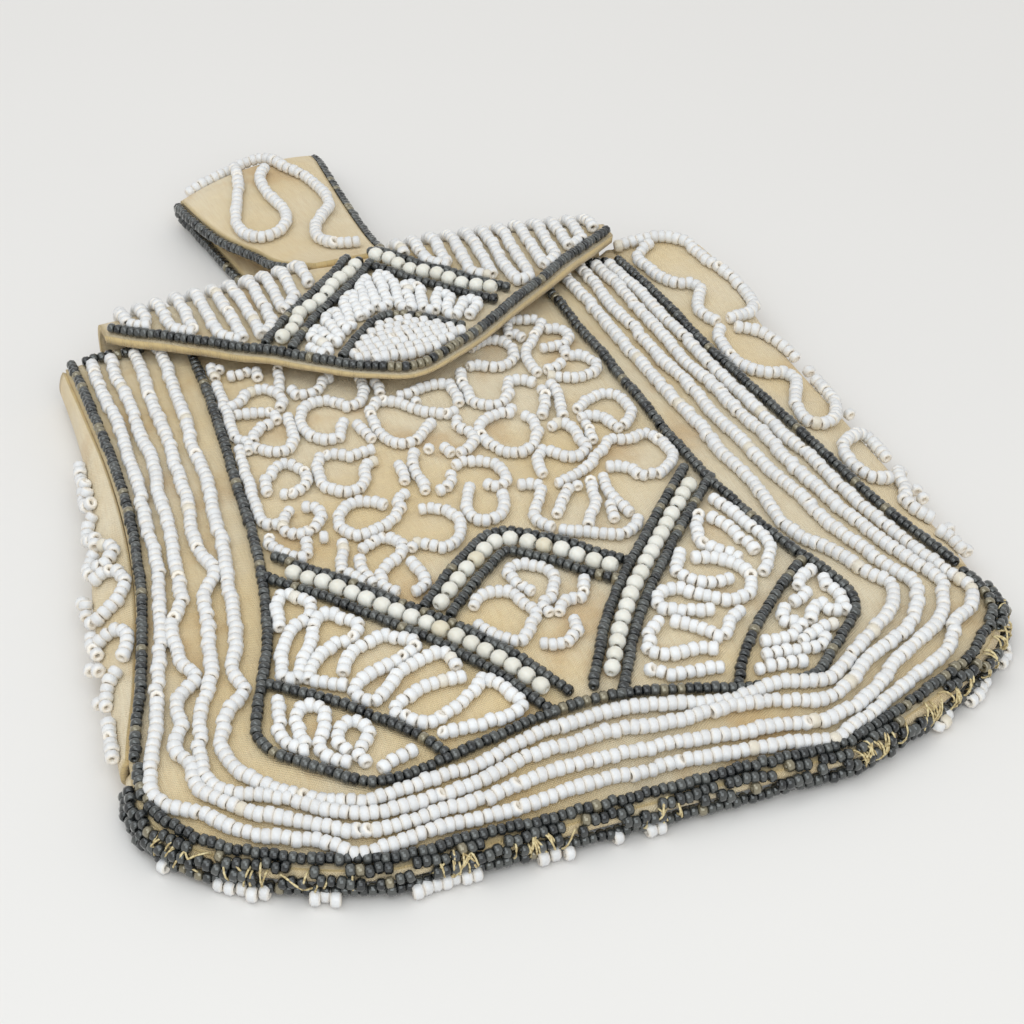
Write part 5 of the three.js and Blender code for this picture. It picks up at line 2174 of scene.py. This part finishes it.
@dataclass
class Studio:
    """The plain floor, soft light and the camera of the photograph."""

    lens: float = 87.9
    azimuth: float = -19.69
    elevation: float = 37.74
    distance: float = 367.4
    target: Position = (4.5, -2.9, 8.0)
    sensor_width: float = 36.0
    clip_start: float = 0.01
    floor_half: float = 1500.0
    floor_points: int = 9
    floor_drop: float = 0.26
    floor_tones: tuple[Colour, Colour] = ((0.76, 0.74, 0.72), (0.80, 0.78, 0.755))
    floor_roughness: float = 0.6
    light_colour: Colour = (0.88, 0.955, 1.0)
    lights: tuple[SoftLight, ...] = (
        SoftLight("key", (-0.28, 0.1, 0.75), 0.6, 1.5),
        SoftLight("fill", (-0.12, -0.6, 0.62), 0.8, 3.3),
    )
    sky_colour: Colour = (1.0, 0.99, 0.975)
    sky_strength: float = 0.70

    def build_camera(self) -> None:
        """Place the camera on the sphere round its target and aim it."""
        a, e = math.radians(self.azimuth), math.radians(self.elevation)
        back = np.array([math.sin(a) * math.cos(e), -math.cos(a) * math.cos(e), math.sin(e)])
        camera = bpy.data.cameras.new("camera")
        camera.lens = self.lens
        camera.sensor_width = self.sensor_width
        camera.clip_start = self.clip_start
        holder = bpy.data.objects.new("camera", camera)
        holder.location = (np.array(self.target) + self.distance * back) * MM
        holder.rotation_euler = (math.pi / 2 - e, 0.0, a)
        bpy.context.scene.collection.objects.link(holder)
        bpy.context.scene.camera = holder

    def build_floor(self) -> None:
        """Lay a broad pale floor under the bag."""
        reach = np.linspace(-self.floor_half, self.floor_half, self.floor_points)
        x, y = grid(reach, reach)
        vertices = joined(x, y, np.full_like(x, -self.floor_drop)).reshape(-1, 3)
        floor = make_object("floor", vertices, grid_quads(np.arange(x.size).reshape(x.shape)), {})
        material, kit, shader = new_material("pale_floor")
        place = kit.add("ShaderNodeTexCoord")
        tone = kit.noise(place.outputs["Object"], scale=6.0, detail=3.0)
        kit.link(kit.mix(tone, *self.floor_tones), shader.inputs["Base Color"])
        shader.inputs["Roughness"].default_value = self.floor_roughness
        floor.data.materials.append(material)

    def add_light(self, soft: SoftLight) -> None:
        """Add one soft light, a little cool, and turn it to the middle of the bag."""
        light = bpy.data.lights.new(soft.name, "AREA")
        light.size = soft.size
        light.energy = soft.power
        light.color = self.light_colour
        holder = bpy.data.objects.new(soft.name, light)
        holder.location = soft.place
        x, y, z = (-value for value in soft.place)
        flat = math.hypot(x, y)
        holder.rotation_euler = (math.atan2(flat, -z), 0.0, math.atan2(x, -y) + math.pi)
        bpy.context.scene.collection.objects.link(holder)

    def build(self) -> None:
        """Build the camera, the floor and the lights."""
        self.build_camera()
        self.build_floor()
        for light in self.lights:
            self.add_light(light)
        world = bpy.data.worlds.new("studio")
        world.use_nodes = True
        sky = world.node_tree.nodes["Background"]
        sky.inputs["Color"].default_value = (*self.sky_colour, 1.0)
        sky.inputs["Strength"].default_value = self.sky_strength
        bpy.context.scene.world = world
        bpy.context.scene.view_settings.view_transform = "Standard"


def main() -> None:
    """Build the studio and the bag."""
    logging.basicConfig(level=logging.INFO, format="%(message)s")
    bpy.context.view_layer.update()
    Studio().build()
    shop = Workshop(Finishes(), np.random.default_rng(VARIATION_SEED))
    assemblies = [
        BackPanel(shop), FrontPanel(shop), Flap(shop), FingerLoop(shop),
        GussetSide(
            shop, Side.LEFT, flat_width=0.018, flat_area=0.0011,
            strands=LEFT_STRANDS, single_beads=LEFT_SINGLES,
        ),
        GussetSide(
            shop, Side.RIGHT, flat_width=0.032, flat_area=0.0022,
            strands=RIGHT_STRANDS, single_beads=RIGHT_SINGLES, top_y=GUSSETS.keys[-1],
        ),
        BottomSeam(shop),
    ]
    for assembly in assemblies:
        LOG.info("building %s", type(assembly).__name__)
        assembly.build()


if __name__ == "__main__":
    main()
